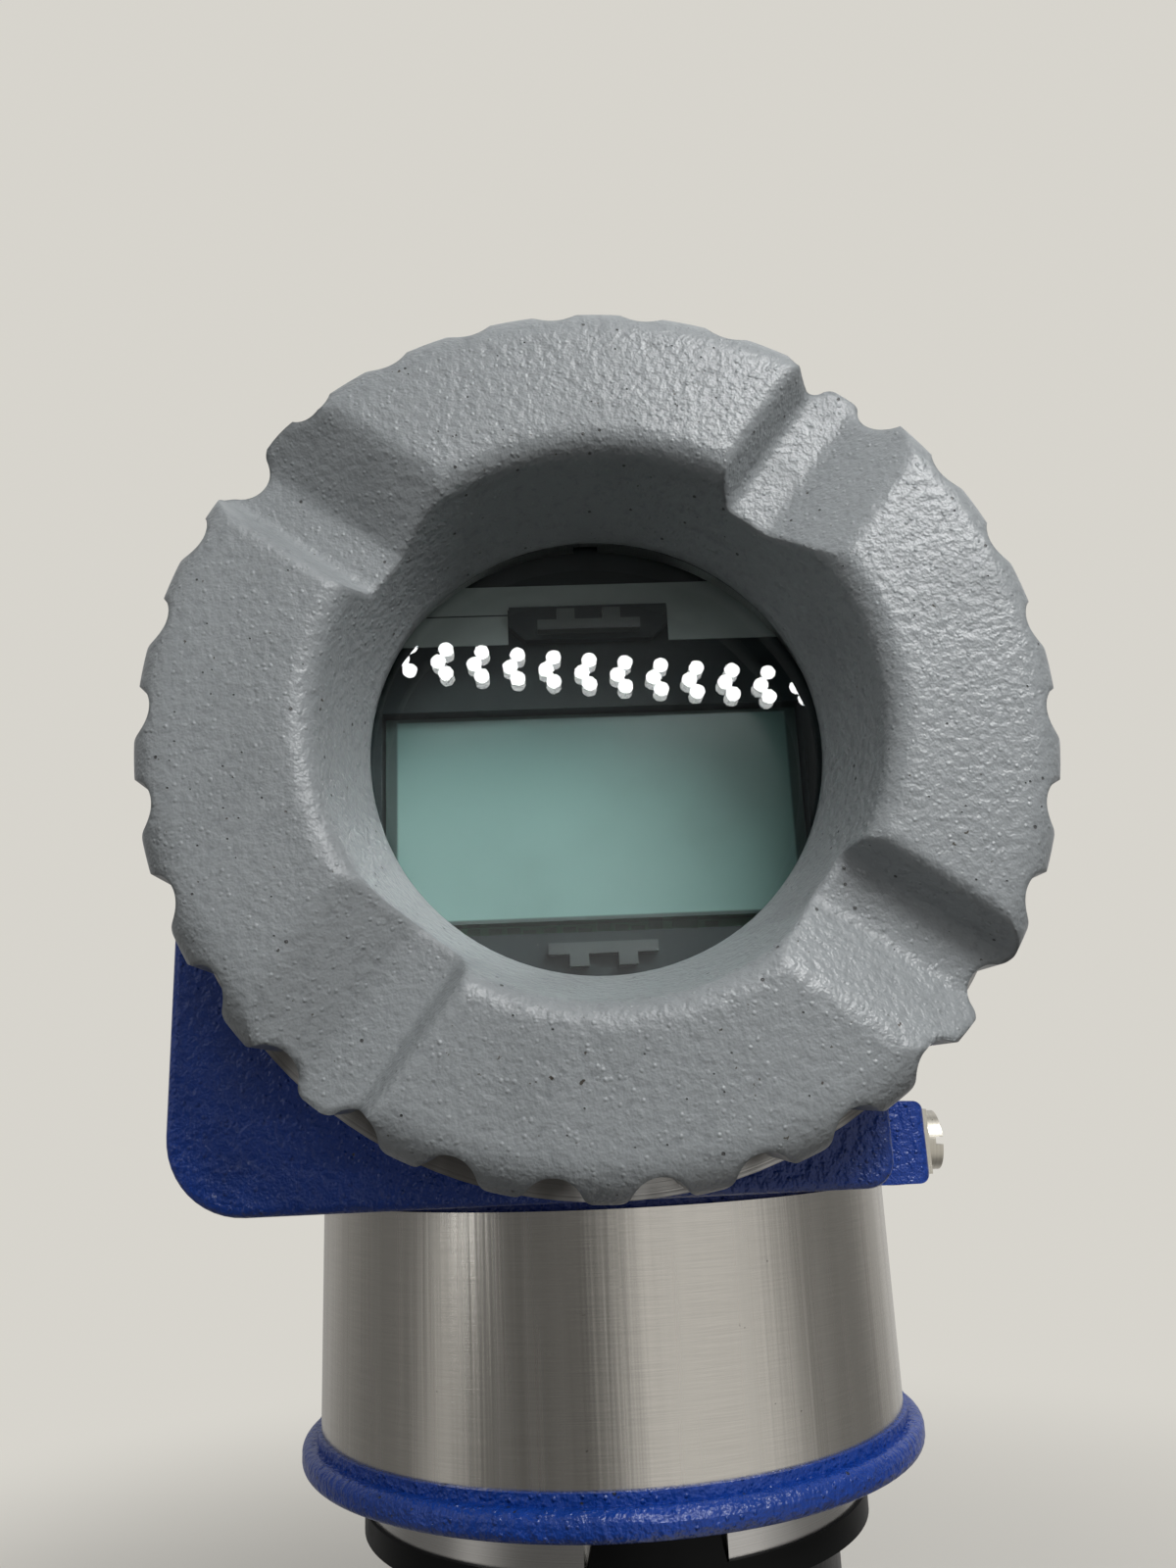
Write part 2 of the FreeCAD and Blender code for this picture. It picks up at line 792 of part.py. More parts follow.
def conduit_block():
    """The square block under the barrel, with its large left and small right corner."""
    body = doc.addObject("PartDesign::Body", "conduit_block")
    sketch = new_sketch(body, "conduit_block_outline", "XZ_Plane")
    polygon(
        sketch,
        [
            (-conduit_reach, dim.block_above_centre),
            (-conduit_reach, -dim.barrel_flange_radius),
            (dim.block_right, -dim.barrel_flange_radius),
            (dim.block_right, dim.block_above_centre),
        ],
    )
    pad = body.newObject("PartDesign::Pad", "conduit_block_pad")
    pad.Profile = sketch
    pad.Midplane = True
    bind(pad, "Length", (dim.seat_reach - dim.block_setback) * 2)
    body.Tip = pad
    doc.recompute()
    for side, across, corner in (
        ("left", -conduit_reach, dim.block_left_corner),
        ("right", dim.block_right, dim.block_right_corner),
    ):
        edges = []
        for index, edge in enumerate(body.Shape.Edges, start=1):
            middle = edge.CenterOfMass
            low = abs(middle.z + float(dim.barrel_flange_radius)) < 1e-4
            if low and abs(middle.x - float(across)) < 1e-4:
                edges.append(f"Edge{index}")
        round_edges(body, f"conduit_block_{side}_corner", corner, edges)
    face = float(dim.seat_reach - dim.block_setback)
    edges = []
    for index, edge in enumerate(body.Shape.Edges, start=1):
        middle = edge.CenterOfMass
        if abs(abs(middle.y) - face) < 1e-4 and middle.z < 0:
            edges.append(f"Edge{index}")
    round_edges(body, "conduit_block_edges", dim.block_edge_round, edges)
    return place(body, 0, 0, centre)


def ground_lug():
    """The lug on the right of the neck, with its outer edges rounded."""
    body = doc.addObject("PartDesign::Body", "ground_lug")
    sketch = new_sketch(body, "ground_lug_outline", "XZ_Plane")
    polygon(
        sketch,
        [
            (ZERO, lug_top),
            (ZERO, lug_bottom),
            (lug_reach, lug_bottom),
            (lug_reach, lug_top),
        ],
    )
    pad = body.newObject("PartDesign::Pad", "ground_lug_pad")
    pad.Profile = sketch
    bind(pad, "Length", dim.lug_width)
    body.Tip = pad
    doc.recompute()
    edges = []
    for index, edge in enumerate(body.Shape.Edges, start=1):
        if abs(edge.CenterOfMass.x - float(lug_reach)) < 1e-4:
            edges.append(f"Edge{index}")
    round_edges(body, "ground_lug_corners", dim.lug_round, edges)
    return place(body, 0, dim.lug_width - dim.lug_front, 0)


def neck_casting():
    """The round neck with its foot and bottom flange."""
    body = turned_body(
        "neck_casting",
        [
            (ZERO, dim.flange_bottom),
            (dim.flange_radius, dim.flange_bottom),
            (dim.flange_radius, flange_top),
            (dim.neck_foot_radius, flange_top),
            (dim.neck_foot_radius, flange_top + dim.neck_foot_height),
            (dim.neck_radius, flange_top + dim.neck_foot_height),
            (dim.neck_radius, centre),
            (ZERO, centre),
        ],
        "z",
    )
    edges = []
    for height in (dim.flange_bottom, flange_top):
        edges += circular_edges(body.Shape, dim.flange_radius, height, "z")
    round_edges(body, "neck_flange_round", dim.flange_round, edges)
    return body


def barrel():
    """The round barrel with a wide flange at each end."""
    inner_reach = dim.seat_reach - dim.barrel_flange_width
    body = turned_body(
        "barrel",
        [
            (ZERO, -dim.seat_reach),
            (dim.barrel_flange_radius, -dim.seat_reach),
            (dim.barrel_flange_radius, -inner_reach),
            (barrel_radius, -inner_reach),
            (barrel_radius, inner_reach),
            (dim.barrel_flange_radius, inner_reach),
            (dim.barrel_flange_radius, dim.seat_reach),
            (ZERO, dim.seat_reach),
        ],
        "y",
    )
    return place(body, 0, 0, centre)


def chamber(name, side):
    """The stepped bore behind one cover, from its mouth to the partition."""
    floor = dim.partition_front if side < 0 else partition_back
    mouth = dim.seat_reach + OVERCUT
    step = dim.seat_reach - dim.cover_bore_depth
    section = [
        (ZERO, mouth * side),
        (dim.cover_bore_radius, mouth * side),
        (dim.cover_bore_radius, step * side),
        (dim.chamber_radius, step * side),
        (dim.chamber_radius, floor),
        (ZERO, floor),
    ]
    return place(turned_body(name, section, "y"), 0, 0, centre)


def housing():
    """The cast housing: barrel, block, bosses and neck, then its bores."""
    plate_room = cylinder(
        "data_plate_room",
        dim.neck_radius + dim.plate_clearance + dim.plate_thickness + dim.plate_clearance,
        plate_top - flange_top,
        z=flange_top,
    )
    top_half = fuse(
        "housing_upper",
        barrel(),
        conduit_block(),
        cylinder(
            "right_conduit_boss",
            dim.conduit_boss_radius,
            conduit_reach,
            0,
            conduit_setback,
            conduit_height,
            "x",
        ),
        ground_lug(),
    )
    relieved = cut("housing_relieved", top_half, plate_room)
    casting = fuse("housing_casting", relieved, neck_casting())
    threads = [
        conduit_bore(
            "left_conduit_thread",
            dim.conduit_bore_radius,
            -conduit_reach - OVERCUT,
            dim.conduit_thread_length + OVERCUT,
        ),
        conduit_bore(
            "right_conduit_thread",
            dim.conduit_bore_radius,
            conduit_reach - dim.conduit_thread_length,
            dim.conduit_thread_length + OVERCUT,
        ),
    ]
    throat = conduit_bore(
        "conduit_throats", dim.conduit_throat_radius, -conduit_reach, conduit_reach * 2
    )
    bores = [
        chamber("electronics_chamber", -1),
        chamber("terminal_chamber", 1),
        cylinder(
            "feedthrough_hole",
            dim.feedthrough_radius,
            partition_back + OVERCUT,
            0,
            0,
            centre,
            "y",
        ),
        *threads,
        throat,
        cylinder(
            "neck_bore",
            dim.neck_bore_radius,
            dim.neck_bore_depth,
            z=dim.flange_bottom,
        ),
        cylinder(
            "lead_passage",
            dim.lead_passage_radius,
            centre - dim.flange_bottom - dim.chamber_radius + dim.lead_passage_setting,
            0,
            -dim.lead_passage_setting,
            dim.flange_bottom,
        ),
        ground_screw_shank("ground_screw_hole", dim.fit_clearance),
        set_screw("set_screw_hole", dim.fit_clearance),
        *drive_screw_shanks(dim.fit_clearance),
        *screw_pair_shanks(
            "module_screw_hole",
            dim.module_screw_spread,
            dim.module_screw_radius,
            dim.partition_front,
            dim.module_screw_grip,
        ),
        *block_screw_shanks(
            "block_screw_hole",
            dim.block_screw_radius,
            partition_back - dim.block_screw_grip,
            dim.block_screw_grip,
        ),
        cylinder(
            "earth_screw_hole",
            dim.earth_screw_radius,
            dim.earth_screw_grip,
            0,
            partition_back - dim.earth_screw_grip,
            centre - dim.earth_screw_spread,
            "y",
        ),
    ]
    cut("housing", casting, *bores)


def conduit_bore(name, radius, start, length):
    """One stretch of the conduit entries' bore, along X."""
    return cylinder(
        name, radius, length, start, conduit_setback, conduit_height, "x"
    )


def screw_pair_shanks(name, spread, radius, start, length):
    """Two shanks or holes along Y, one on each side of the centre."""
    return [
        cylinder(f"{name}_{word}", radius, length, spread * side, start, centre, "y")
        for word, side in (("left", -1), ("right", 1))
    ]


def block_screw_shanks(name, radius, start, length):
    """Two shanks or holes along Y, below and above the terminal block's middle."""
    return [
        cylinder(
            f"{name}_{word}",
            radius,
            length,
            0,
            start,
            centre + dim.block_screw_spread * side,
            "y",
        )
        for word, side in (("lower", -1), ("upper", 1))
    ]


def screw_pair(name, spread, radius, head_radius, head, start, end):
    """Two cheese-head screws along Y with their heads before or behind their shanks."""
    toward = 1 if float(end) > float(start) else -1
    screws = []
    for word, side in (("left", -1), ("right", 1)):
        across = spread * side
        low = start if toward > 0 else end
        length = (end - start) * toward
        head_start = start - head if toward > 0 else start
        screws.append(
            fuse(
                f"{name}_{word}",
                cylinder(
                    f"{name}_shank_{word}", radius, length, across, low, centre, "y"
                ),
                cylinder(
                    f"{name}_head_{word}",
                    head_radius,
                    head,
                    across,
                    head_start,
                    centre,
                    "y",
                ),
            )
        )
    return group(name, screws)


def ground_screw_shank(name, clearance):
    """The shank of the external earth screw, or its hole with a clearance."""
    return cylinder(
        name,
        dim.ground_screw_radius + clearance,
        dim.ground_screw_length,
        lug_reach - dim.ground_screw_length,
        dim.ground_screw_setback,
        ground_screw_height,
        "x",
    )


def set_screw(name, clearance):
    """The set screw in the lug's underside, or its hole with a clearance."""
    return cylinder(
        name,
        dim.set_screw_radius + clearance,
        dim.set_screw_length + clearance,
        lug_reach - dim.set_screw_inset,
        dim.ground_screw_setback,
        lug_bottom - dim.set_screw_proud,
    )


def drive_screw_shanks(clearance, head=None):
    """The data plate's two drive screws at the back of the neck, or their holes."""
    height = (flange_top + plate_top) / 2
    surface = dim.neck_radius + dim.plate_clearance + dim.plate_thickness
    made = []
    for word, side in (("left", 1), ("right", -1)):
        shank = cylinder(
            f"drive_screw_{'shank' if head else 'hole'}_{word}",
            dim.plate_screw_radius + clearance,
            dim.plate_screw_length,
            0,
            surface - dim.plate_screw_length,
            0,
            "y",
        )
        pieces = [shank]
        if head:
            pieces.append(
                cylinder(
                    f"drive_screw_head_{word}",
                    dim.plate_screw_head_radius,
                    dim.plate_screw_head,
                    0,
                    surface,
                    0,
                    "y",
                )
            )
        if head:
            screw = fuse(f"drive_screw_{word}", *pieces)
        else:
            screw = group(f"drive_hole_{len(doc.Objects)}", pieces)
        turn = FreeCAD.Rotation(
            FreeCAD.Vector(0, 0, 1), side * float(dim.plate_screw_angle)
        )
        made.append(place(screw, 0, 0, height, turn))
    return made


def data_plate():
    """The stainless band round the neck, open at the back, and its drive screws."""
    inner = dim.neck_radius + dim.plate_clearance
    bottom = flange_top + dim.neck_foot_height
    band = ring(
        "data_band", inner + dim.plate_thickness, inner, bottom, plate_top, "z", ZERO
    )
    gap = centred_box(
        "data_band_gap",
        dim.plate_gap,
        dim.neck_radius * 2,
        (plate_top - bottom) * 2,
        ZERO,
        ZERO,
        bottom,
    )
    cut("data_plate", band, gap, *drive_screw_shanks(ZERO))
    group("data_plate_screws", drive_screw_shanks(ZERO, head=True))


def ground_screw_pieces():
    """The external earth screw, its square clamp and the set screw beside it."""
    height = ground_screw_height
    clamp = box(
        "ground_clamp_plate",
        dim.ground_clamp_thickness,
        dim.ground_clamp_side,
        dim.ground_clamp_side,
        lug_reach,
        dim.ground_screw_setback - dim.ground_clamp_side / 2,
        height - dim.ground_clamp_side / 2,
    )
    hole = cylinder(
        "ground_clamp_hole",
        dim.ground_screw_radius + dim.fit_clearance,
        lug_reach,
        lug_reach - OVERCUT,
        dim.ground_screw_setback,
        height,
        "x",
    )
    cut("ground_clamp", clamp, hole)
    head_start = lug_reach + dim.ground_clamp_thickness
    shank = cylinder(
        "ground_screw_shank",
        dim.ground_screw_radius,
        dim.ground_screw_length + dim.ground_clamp_thickness,
        lug_reach - dim.ground_screw_length,
        dim.ground_screw_setback,
        height,
        "x",
    )
    head = cylinder(
        "ground_screw_head_disc",
        dim.ground_screw_head_radius,
        dim.ground_screw_head,
        head_start,
        dim.ground_screw_setback,
        height,
        "x",
    )
    slot_width = dim.ground_screw_head_radius / 4
    slot = box(
        "ground_screw_slot",
        dim.ground_screw_head,
        dim.ground_screw_head_radius * 2,
        slot_width,
        head_start + dim.ground_screw_head / 2,
        dim.ground_screw_setback - dim.ground_screw_head_radius,
        height - slot_width / 2,
    )
    cut("ground_screw", fuse("ground_screw_blank", shank, head), slot)
    screw = set_screw("set_screw_blank", ZERO)
    driver = prism(
        "set_screw_socket",
        dim.set_screw_radius,
        dim.set_screw_radius,
        lug_reach - dim.set_screw_inset,
        dim.ground_screw_setback,
        lug_bottom - dim.set_screw_proud,
    )
    cut("lug_set_screw", screw, driver)


def conduit_plug():
    """The plug in the right conduit entry, with a hexagon head and socket."""
    end = conduit_reach
    thread = conduit_bore(
        "conduit_plug_thread",
        dim.conduit_bore_radius - dim.fit_clearance,
        end - dim.plug_length,
        dim.plug_length,
    )
    head = prism(
        "conduit_plug_head",
        dim.plug_head_width,
        dim.plug_head,
        end,
        conduit_setback,
        conduit_height,
        "x",
    )
    socket = prism(
        "conduit_plug_socket",
        dim.plug_socket_width,
        dim.plug_socket_depth,
        end + dim.plug_head - dim.plug_socket_depth,
        conduit_setback,
        conduit_height,
        "x",
    )
    cut("conduit_plug", fuse("conduit_plug_blank", thread, head), socket)


def grip(word, side, start, base):
    """One grip pad with chamfered inner corners, and the forked clip that stands on it."""
    face = -display_face
    foot = dim.grip_foot_width / 2
    half = dim.grip_width / 2
    body = doc.addObject("PartDesign::Body", f"{word}_grip")
    sketch = new_sketch(body, f"{word}_grip_outline", "XZ_Plane")
    outline = [
        (-foot, start * side),
        (foot, start * side),
        (half, (start + dim.grip_shoulder) * side),
        (half, (start + dim.grip_height) * side),
        (-half, (start + dim.grip_height) * side),
        (-half, (start + dim.grip_shoulder) * side),
    ]
    polygon(sketch, outline)
    pad = body.newObject("PartDesign::Pad", f"{word}_grip_pad")
    pad.Profile = sketch
    bind(pad, "Length", base + dim.grip_reach)
    body.Tip = pad
    doc.recompute()
    place(body, 0, face + base, centre)
    clip_front = face - dim.grip_reach - dim.clip_thickness
    bar_middle = start + dim.clip_start + dim.clip_bar_height / 2
    bar = centred_box(
        f"{word}_clip_bar",
        dim.clip_width,
        dim.clip_thickness,
        dim.clip_bar_height,
        ZERO,
        clip_front,
        centre + bar_middle * side,
    )
    legs = [
        centred_box(
            f"{word}_clip_leg_{hand}",
            dim.clip_leg_width,
            dim.clip_thickness,
            dim.clip_height,
            dim.clip_leg_spread * place_side,
            clip_front,
            centre + (start + dim.clip_start + dim.clip_height / 2) * side,
        )
        for hand, place_side in (("left", -1), ("right", 1))
    ]
    return body, fuse(f"{word}_clip", bar, *legs)


def within_disc(name, piece, radius):
    """The part of a display piece that lies inside a round outline."""
    face = -display_face - OVERCUT
    depth = dim.display_frame_depth + OVERCUT * 2
    made = doc.addObject("Part::Common", name)
    made.Base = piece
    made.Tool = cylinder(f"{name}_disc", radius, depth, 0, face, centre, "y")
    return made


def display_frame():
    """The round dark frame with the panel opening, a step for the label and two grips."""
    face = -display_face
    disc = cylinder(
        "display_disc",
        dim.display_radius,
        dim.display_frame_depth,
        0,
        face,
        centre,
        "y",
    )
    opening = box(
        "panel_opening_box",
        dim.panel_width + dim.panel_clearance * 2,
        dim.display_frame_depth + OVERCUT * 2,
        dim.panel_height + dim.panel_clearance + dim.panel_lower_gap,
        -dim.panel_width / 2 - dim.panel_clearance,
        face - OVERCUT,
        centre - dim.panel_bottom - dim.panel_lower_gap,
    )
    opening = within_disc("panel_opening", opening, dim.display_radius - dim.display_rim)
    step = box(
        "label_step",
        dim.display_radius * 2,
        dim.label_step_depth + OVERCUT,
        dim.display_radius,
        -dim.display_radius,
        face - OVERCUT,
        centre + dim.label_step_bottom,
    )
    upper, upper_clip = grip("upper", 1, dim.upper_grip_start, dim.label_step_depth)
    lower, lower_clip = grip("lower", -1, dim.lower_grip_start, ZERO)
    fuse("display_frame", cut("display_disc_open", disc, opening, step), upper, lower)
    group("display_clips", [upper_clip, lower_clip])


def display():
    """The display: frame, panel, label, clips, board and the carrier that twists."""
    face = -display_face
    board_front = face + dim.display_frame_depth
    carrier_front = board_front + dim.display_board_thickness
    carrier_back = carrier_front + dim.display_carrier_thickness
    hub_length = -module_face - carrier_back - dim.twist_clearance
    display_frame()
    panel = box(
        "display_panel_box",
        dim.panel_width,
        dim.panel_thickness,
        dim.panel_height,
        -dim.panel_width / 2,
        board_front - dim.panel_thickness,
        centre - dim.panel_bottom,
    )
    clear_radius = dim.display_radius - dim.display_rim - dim.panel_clearance
    within_disc("display_panel", panel, clear_radius)
    label_face = face + dim.label_step_depth - dim.label_thickness
    strip = box(
        "label_strip",
        dim.display_radius * 2,
        dim.label_thickness,
        dim.label_height,
        -dim.display_radius,
        label_face,
        centre + dim.label_bottom,
    )
    grip_room = centred_box(
        "label_grip_room",
        dim.grip_width + dim.panel_clearance * 2,
        dim.label_step_depth,
        (dim.grip_height + dim.panel_clearance) * 2,
        ZERO,
        label_face - dim.panel_clearance,
        centre + dim.upper_grip_start,
    )
    label = within_disc("label_segment", strip, dim.display_radius - dim.label_step_depth)
    cut("display_label", label, grip_room)
    cylinder(
        "display_board",
        dim.display_radius - dim.display_board_thickness,
        dim.display_board_thickness,
        0,
        board_front,
        centre,
        "y",
    )
    fuse(
        "display_carrier",
        cylinder(
            "carrier_disc",
            dim.display_radius,
            dim.display_carrier_thickness,
            0,
            carrier_front,
            centre,
            "y",
        ),
        cylinder(
            "carrier_hub",
            dim.display_hub_radius,
            hub_length,
            0,
            carrier_back,
            centre,
            "y",
        ),
    )


def electronics():
    """The potted electronics module and its two captive screws."""
    depth = module_face + dim.partition_front
    potting = cylinder(
        "module_potting",
        dim.module_radius,
        depth,
        0,
        -module_face,
        centre,
        "y",
    )
    holes = screw_pair_shanks(
        "module_hole",
        dim.module_screw_spread,
        dim.module_screw_radius + dim.fit_clearance,
        -module_face - OVERCUT,
        depth + OVERCUT * 2,
    )
    clearance = dim.fit_clearance * 2
    socket = box(
        "module_socket",
        dim.connector_length + clearance * 2,
        dim.connector_width + clearance * 2,
        dim.module_socket_depth + OVERCUT,
        -dim.connector_length / 2 - clearance,
        -dim.connector_width / 2 - clearance,
        module_bottom - OVERCUT,
    )
    cut("electronics_module", potting, socket, *holes)
    screw_pair(
        "module_screws",
        dim.module_screw_spread,
        dim.module_screw_radius,
        dim.module_screw_head_radius,
        dim.module_screw_head,
        -module_face,
        dim.partition_front + dim.module_screw_grip,
    )


def terminals():
    """The terminal block, its screws and clamps, and the earth screw below it."""
    first = -dim.terminal_pitch * (dim.terminal_count - 1) / 2
    count = int(float(dim.terminal_count))
    stations = [first + dim.terminal_pitch * i for i in range(count)]
    block = cylinder(
        "terminal_block_disc",
        dim.terminal_block_radius,
        dim.terminal_block_depth,
        0,
        partition_back,
        centre,
        "y",
    )
    boss = cylinder(
        "feedthrough_boss",
        dim.feedthrough_radius - dim.fit_clearance,
        dim.partition_thickness,
        0,
        dim.partition_front,
        centre,
        "y",
    )
    ribs = [
        centred_box(
            f"terminal_rib_{i}",
            dim.terminal_rib_width,
            dim.terminal_rib_height,
            dim.terminal_rib_length,
            first + dim.terminal_pitch * (i - 0.5),
            terminal_face,
            centre,
        )
        for i in range(count + 1)
    ]
    holes = [
        cylinder(
            f"terminal_hole_{i}",
            dim.terminal_screw_radius + dim.fit_clearance,
            dim.terminal_screw_length,
            x,
            terminal_face - dim.terminal_screw_length,
            centre,
            "y",
        )
        for i, x in enumerate(stations)
    ]
    block_holes = block_screw_shanks(
        "block_hole",
        dim.block_screw_radius + dim.fit_clearance,
        partition_back,
        dim.terminal_block_depth,
    )
    cut(
        "terminal_block",
        fuse("terminal_block_blank", block, boss, *ribs),
        *holes,
        *block_holes,
    )
    plate_face = terminal_face + dim.terminal_plate_thickness
    plates = []
    screws = []
    for i, x in enumerate(stations):
        plate = centred_box(
            f"terminal_plate_{i}",
            dim.terminal_plate_side,
            dim.terminal_plate_thickness,
            dim.terminal_plate_side,
            x,
            terminal_face,
            centre,
        )
        plate_hole = cylinder(
            f"terminal_plate_hole_{i}",
            dim.terminal_screw_radius + dim.fit_clearance,
            dim.terminal_plate_thickness + OVERCUT * 2,
            x,
            terminal_face - OVERCUT,
            centre,
            "y",
        )
        plates.append(cut(f"terminal_clamp_{i}", plate, plate_hole))
        shank = cylinder(
            f"terminal_shank_{i}",
            dim.terminal_screw_radius,
            dim.terminal_screw_length + dim.terminal_plate_thickness,
            x,
            terminal_face - dim.terminal_screw_length,
            centre,
            "y",
        )
        head = cylinder(
            f"terminal_head_{i}",
            dim.terminal_screw_head_radius,
            dim.terminal_screw_head,
            x,
            plate_face,
            centre,
            "y",
        )
        slot_width = dim.terminal_screw_head_radius / 4
        slot = centred_box(
            f"terminal_slot_{i}",
            dim.terminal_screw_head_radius * 2,
            dim.terminal_screw_head,
            slot_width,
            x,
            plate_face + dim.terminal_screw_head / 2,
            centre,
        )
        blank = fuse(f"terminal_screw_blank_{i}", shank, head)
        screws.append(cut(f"terminal_screw_{i}", blank, slot))
    group("terminal_clamps", plates)
    group("terminal_screws", screws)
    shanks = block_screw_shanks(
        "block_shank",
        dim.block_screw_radius,
        partition_back - dim.block_screw_grip,
        dim.terminal_block_depth + dim.block_screw_grip,
    )
    heads = block_screw_shanks(
        "block_head", dim.block_screw_head_radius, terminal_face, dim.block_screw_head
    )
    fixings = [
        fuse(f"block_screw_{i}", shank, head)
        for i, (shank, head) in enumerate(zip(shanks, heads))
    ]
    group("terminal_block_screws", fixings)
    earth_height = centre - dim.earth_screw_spread
    fuse(
        "internal_ground_screw",
        cylinder(
            "earth_shank",
            dim.earth_screw_radius,
            dim.earth_screw_grip,
            0,
            partition_back - dim.earth_screw_grip,
            earth_height,
            "y",
        ),
        cylinder(
            "earth_head",
            dim.earth_screw_head_radius,
            dim.earth_screw_head,
            0,
            partition_back,
            earth_height,
            "y",
        ),
    )


def sensor_neck():
    """The turned stainless neck: tube, ledge for the board and wide collar."""
    tube_radius = dim.neck_bore_radius - dim.fit_clearance
    tube_top = dim.flange_bottom + dim.neck_tube_length
    groove = dim.neck_seal_wire + dim.seal_clearance
    groove_floor = collar_top - dim.neck_seal_wire * 2
    body = turned_body(
        "sensor_neck_turning",
        [
            (dim.neck_tube_ledge_radius, dim.stop_ring_bottom),
            (tube_radius, dim.stop_ring_bottom),
            (tube_radius, dim.collar_bottom),
            (dim.collar_radius, dim.collar_bottom),
            (dim.collar_radius, collar_top),
            (dim.neck_seal_radius + groove, collar_top),
            (dim.neck_seal_radius + groove, groove_floor),
            (dim.neck_seal_radius - groove, groove_floor),
            (dim.neck_seal_radius - groove, collar_top),
            (tube_radius, collar_top),
            (tube_radius, tube_top),
            (dim.neck_tube_hole, tube_top),
            (dim.neck_tube_hole, dim.neck_tube_ledge),
            (dim.neck_tube_ledge_radius, dim.neck_tube_ledge),
        ],
        "z",
    )
    slot = doc.addObject("Part::Common", "collar_slot")
    slot.Base = box(
        "collar_slot_width",
        dim.tab_foot_width + dim.tab_clearance * 2,
        dim.stop_ring_radius,
        collar_top - dim.collar_bottom + OVERCUT,
        dim.tab_offset - dim.tab_foot_width / 2 - dim.tab_clearance,
        -dim.stop_ring_radius,
        dim.collar_bottom,
    )
    slot.Tool = ring(
        "collar_slot_depth",
        dim.stop_ring_radius,
        dim.stop_ring_radius - dim.tab_depth,
        dim.collar_bottom,
        collar_top + OVERCUT,
        "z",
        ZERO,
    )
    cut("sensor_neck", body, slot)
    torus(
        "neck_seal",
        dim.neck_seal_radius,
        dim.neck_seal_wire,
        z=groove_floor + dim.neck_seal_wire,
    )


def rotation_stop_ring():
    """The black ring under the collar, with its tab that rises in front."""
    flat = ring(
        "stop_ring",
        dim.stop_ring_radius,
        dim.stop_ring_hole,
        dim.stop_ring_bottom,
        dim.collar_bottom,
        "z",
        ZERO,
    )
    body = doc.addObject("PartDesign::Body", "stop_tab")
    sketch = new_sketch(body, "stop_tab_outline", "XZ_Plane")
    foot = dim.tab_foot_width / 2
    top = dim.tab_top_width / 2
    polygon(
        sketch,
        [
            (dim.tab_offset - foot, dim.stop_ring_bottom),
            (dim.tab_offset + foot, dim.stop_ring_bottom),
            (dim.tab_offset + foot, dim.collar_bottom),
            (dim.tab_offset + top, collar_top),
            (dim.tab_offset - top, collar_top),
            (dim.tab_offset - foot, dim.collar_bottom),
        ],
    )
    pad = body.newObject("PartDesign::Pad", "stop_tab_pad")
    pad.Profile = sketch
    bind(pad, "Length", dim.stop_ring_radius)
    body.Tip = pad
    doc.recompute()
    shell = ring(
        "stop_tab_shell",
        dim.stop_ring_radius,
        dim.stop_ring_radius - dim.tab_depth + dim.tab_clearance,
        dim.stop_ring_bottom,
        collar_top,
        "z",
        ZERO,
    )
    tab = doc.addObject("Part::Common", "stop_tab_curved")
    tab.Base = body
    tab.Tool = shell
    fuse("rotation_stop_ring", flat, tab)


def sensor_body():
    """The dark round body that holds the capsule, chamfered at its foot."""
    room = dim.capsule_radius + dim.capsule_clearance
    recess = dim.spigot_radius + dim.fit_clearance
    turned_body(
        "sensor_body",
        [
            (recess, dim.sensor_bottom),
            (dim.sensor_radius - dim.sensor_chamfer, dim.sensor_bottom),
            (dim.sensor_radius, dim.sensor_bottom + dim.sensor_chamfer),
            (dim.sensor_radius, dim.stop_ring_bottom),
            (room, dim.stop_ring_bottom),
            (room, spigot_top),
            (recess, spigot_top),
        ],
        "z",
    )


def capsule():
    """The sensing cell, its pins, the corrugated diaphragm and the seal below."""
    cylinder(
        "sensor_capsule", dim.capsule_radius, dim.capsule_height, z=capsule_bottom
    )
    rim = dim.capsule_radius - dim.capsule_clearance
    crimp = rim / (dim.diaphragm_rings * 2 + 1)
    thin = dim.diaphragm_thickness / 2
    low = diaphragm_bottom
    points = [(ZERO, low), (crimp, low)]
    count = int(float(dim.diaphragm_rings)) * 2
    for i in range(1, count + 1):
        level = low + thin if i % 2 else low
        points.append((crimp * i, level))
        points.append((crimp * (i + 1), level))
    outline = [points[0]]
    for point in points[1:]:
        if float(point[0]) != float(outline[-1][0]) or point[1] is not outline[-1][1]:
            outline.append(point)
    outline.append((rim, capsule_bottom))
    outline.append((ZERO, capsule_bottom))
    turned_body("isolating_diaphragm", outline, "z")
    ring(
        "capsule_seal",
        dim.capsule_radius,
        dim.capsule_radius / 2,
        spigot_top,
        diaphragm_bottom,
        "z",
        ZERO,
    )
    pin_bottom = capsule_bottom + dim.capsule_height
    group(
        "capsule_pins",
        [
            cylinder(
                f"capsule_pin_{i}",
                dim.capsule_pin_radius,
                dim.neck_tube_ledge - pin_bottom,
                dim.capsule_pin_spread * x,
                dim.capsule_pin_spread * y,
                pin_bottom,
            )
            for i, (x, y) in enumerate(((1, 1), (1, -1), (-1, 1), (-1, -1)))
        ],
    )


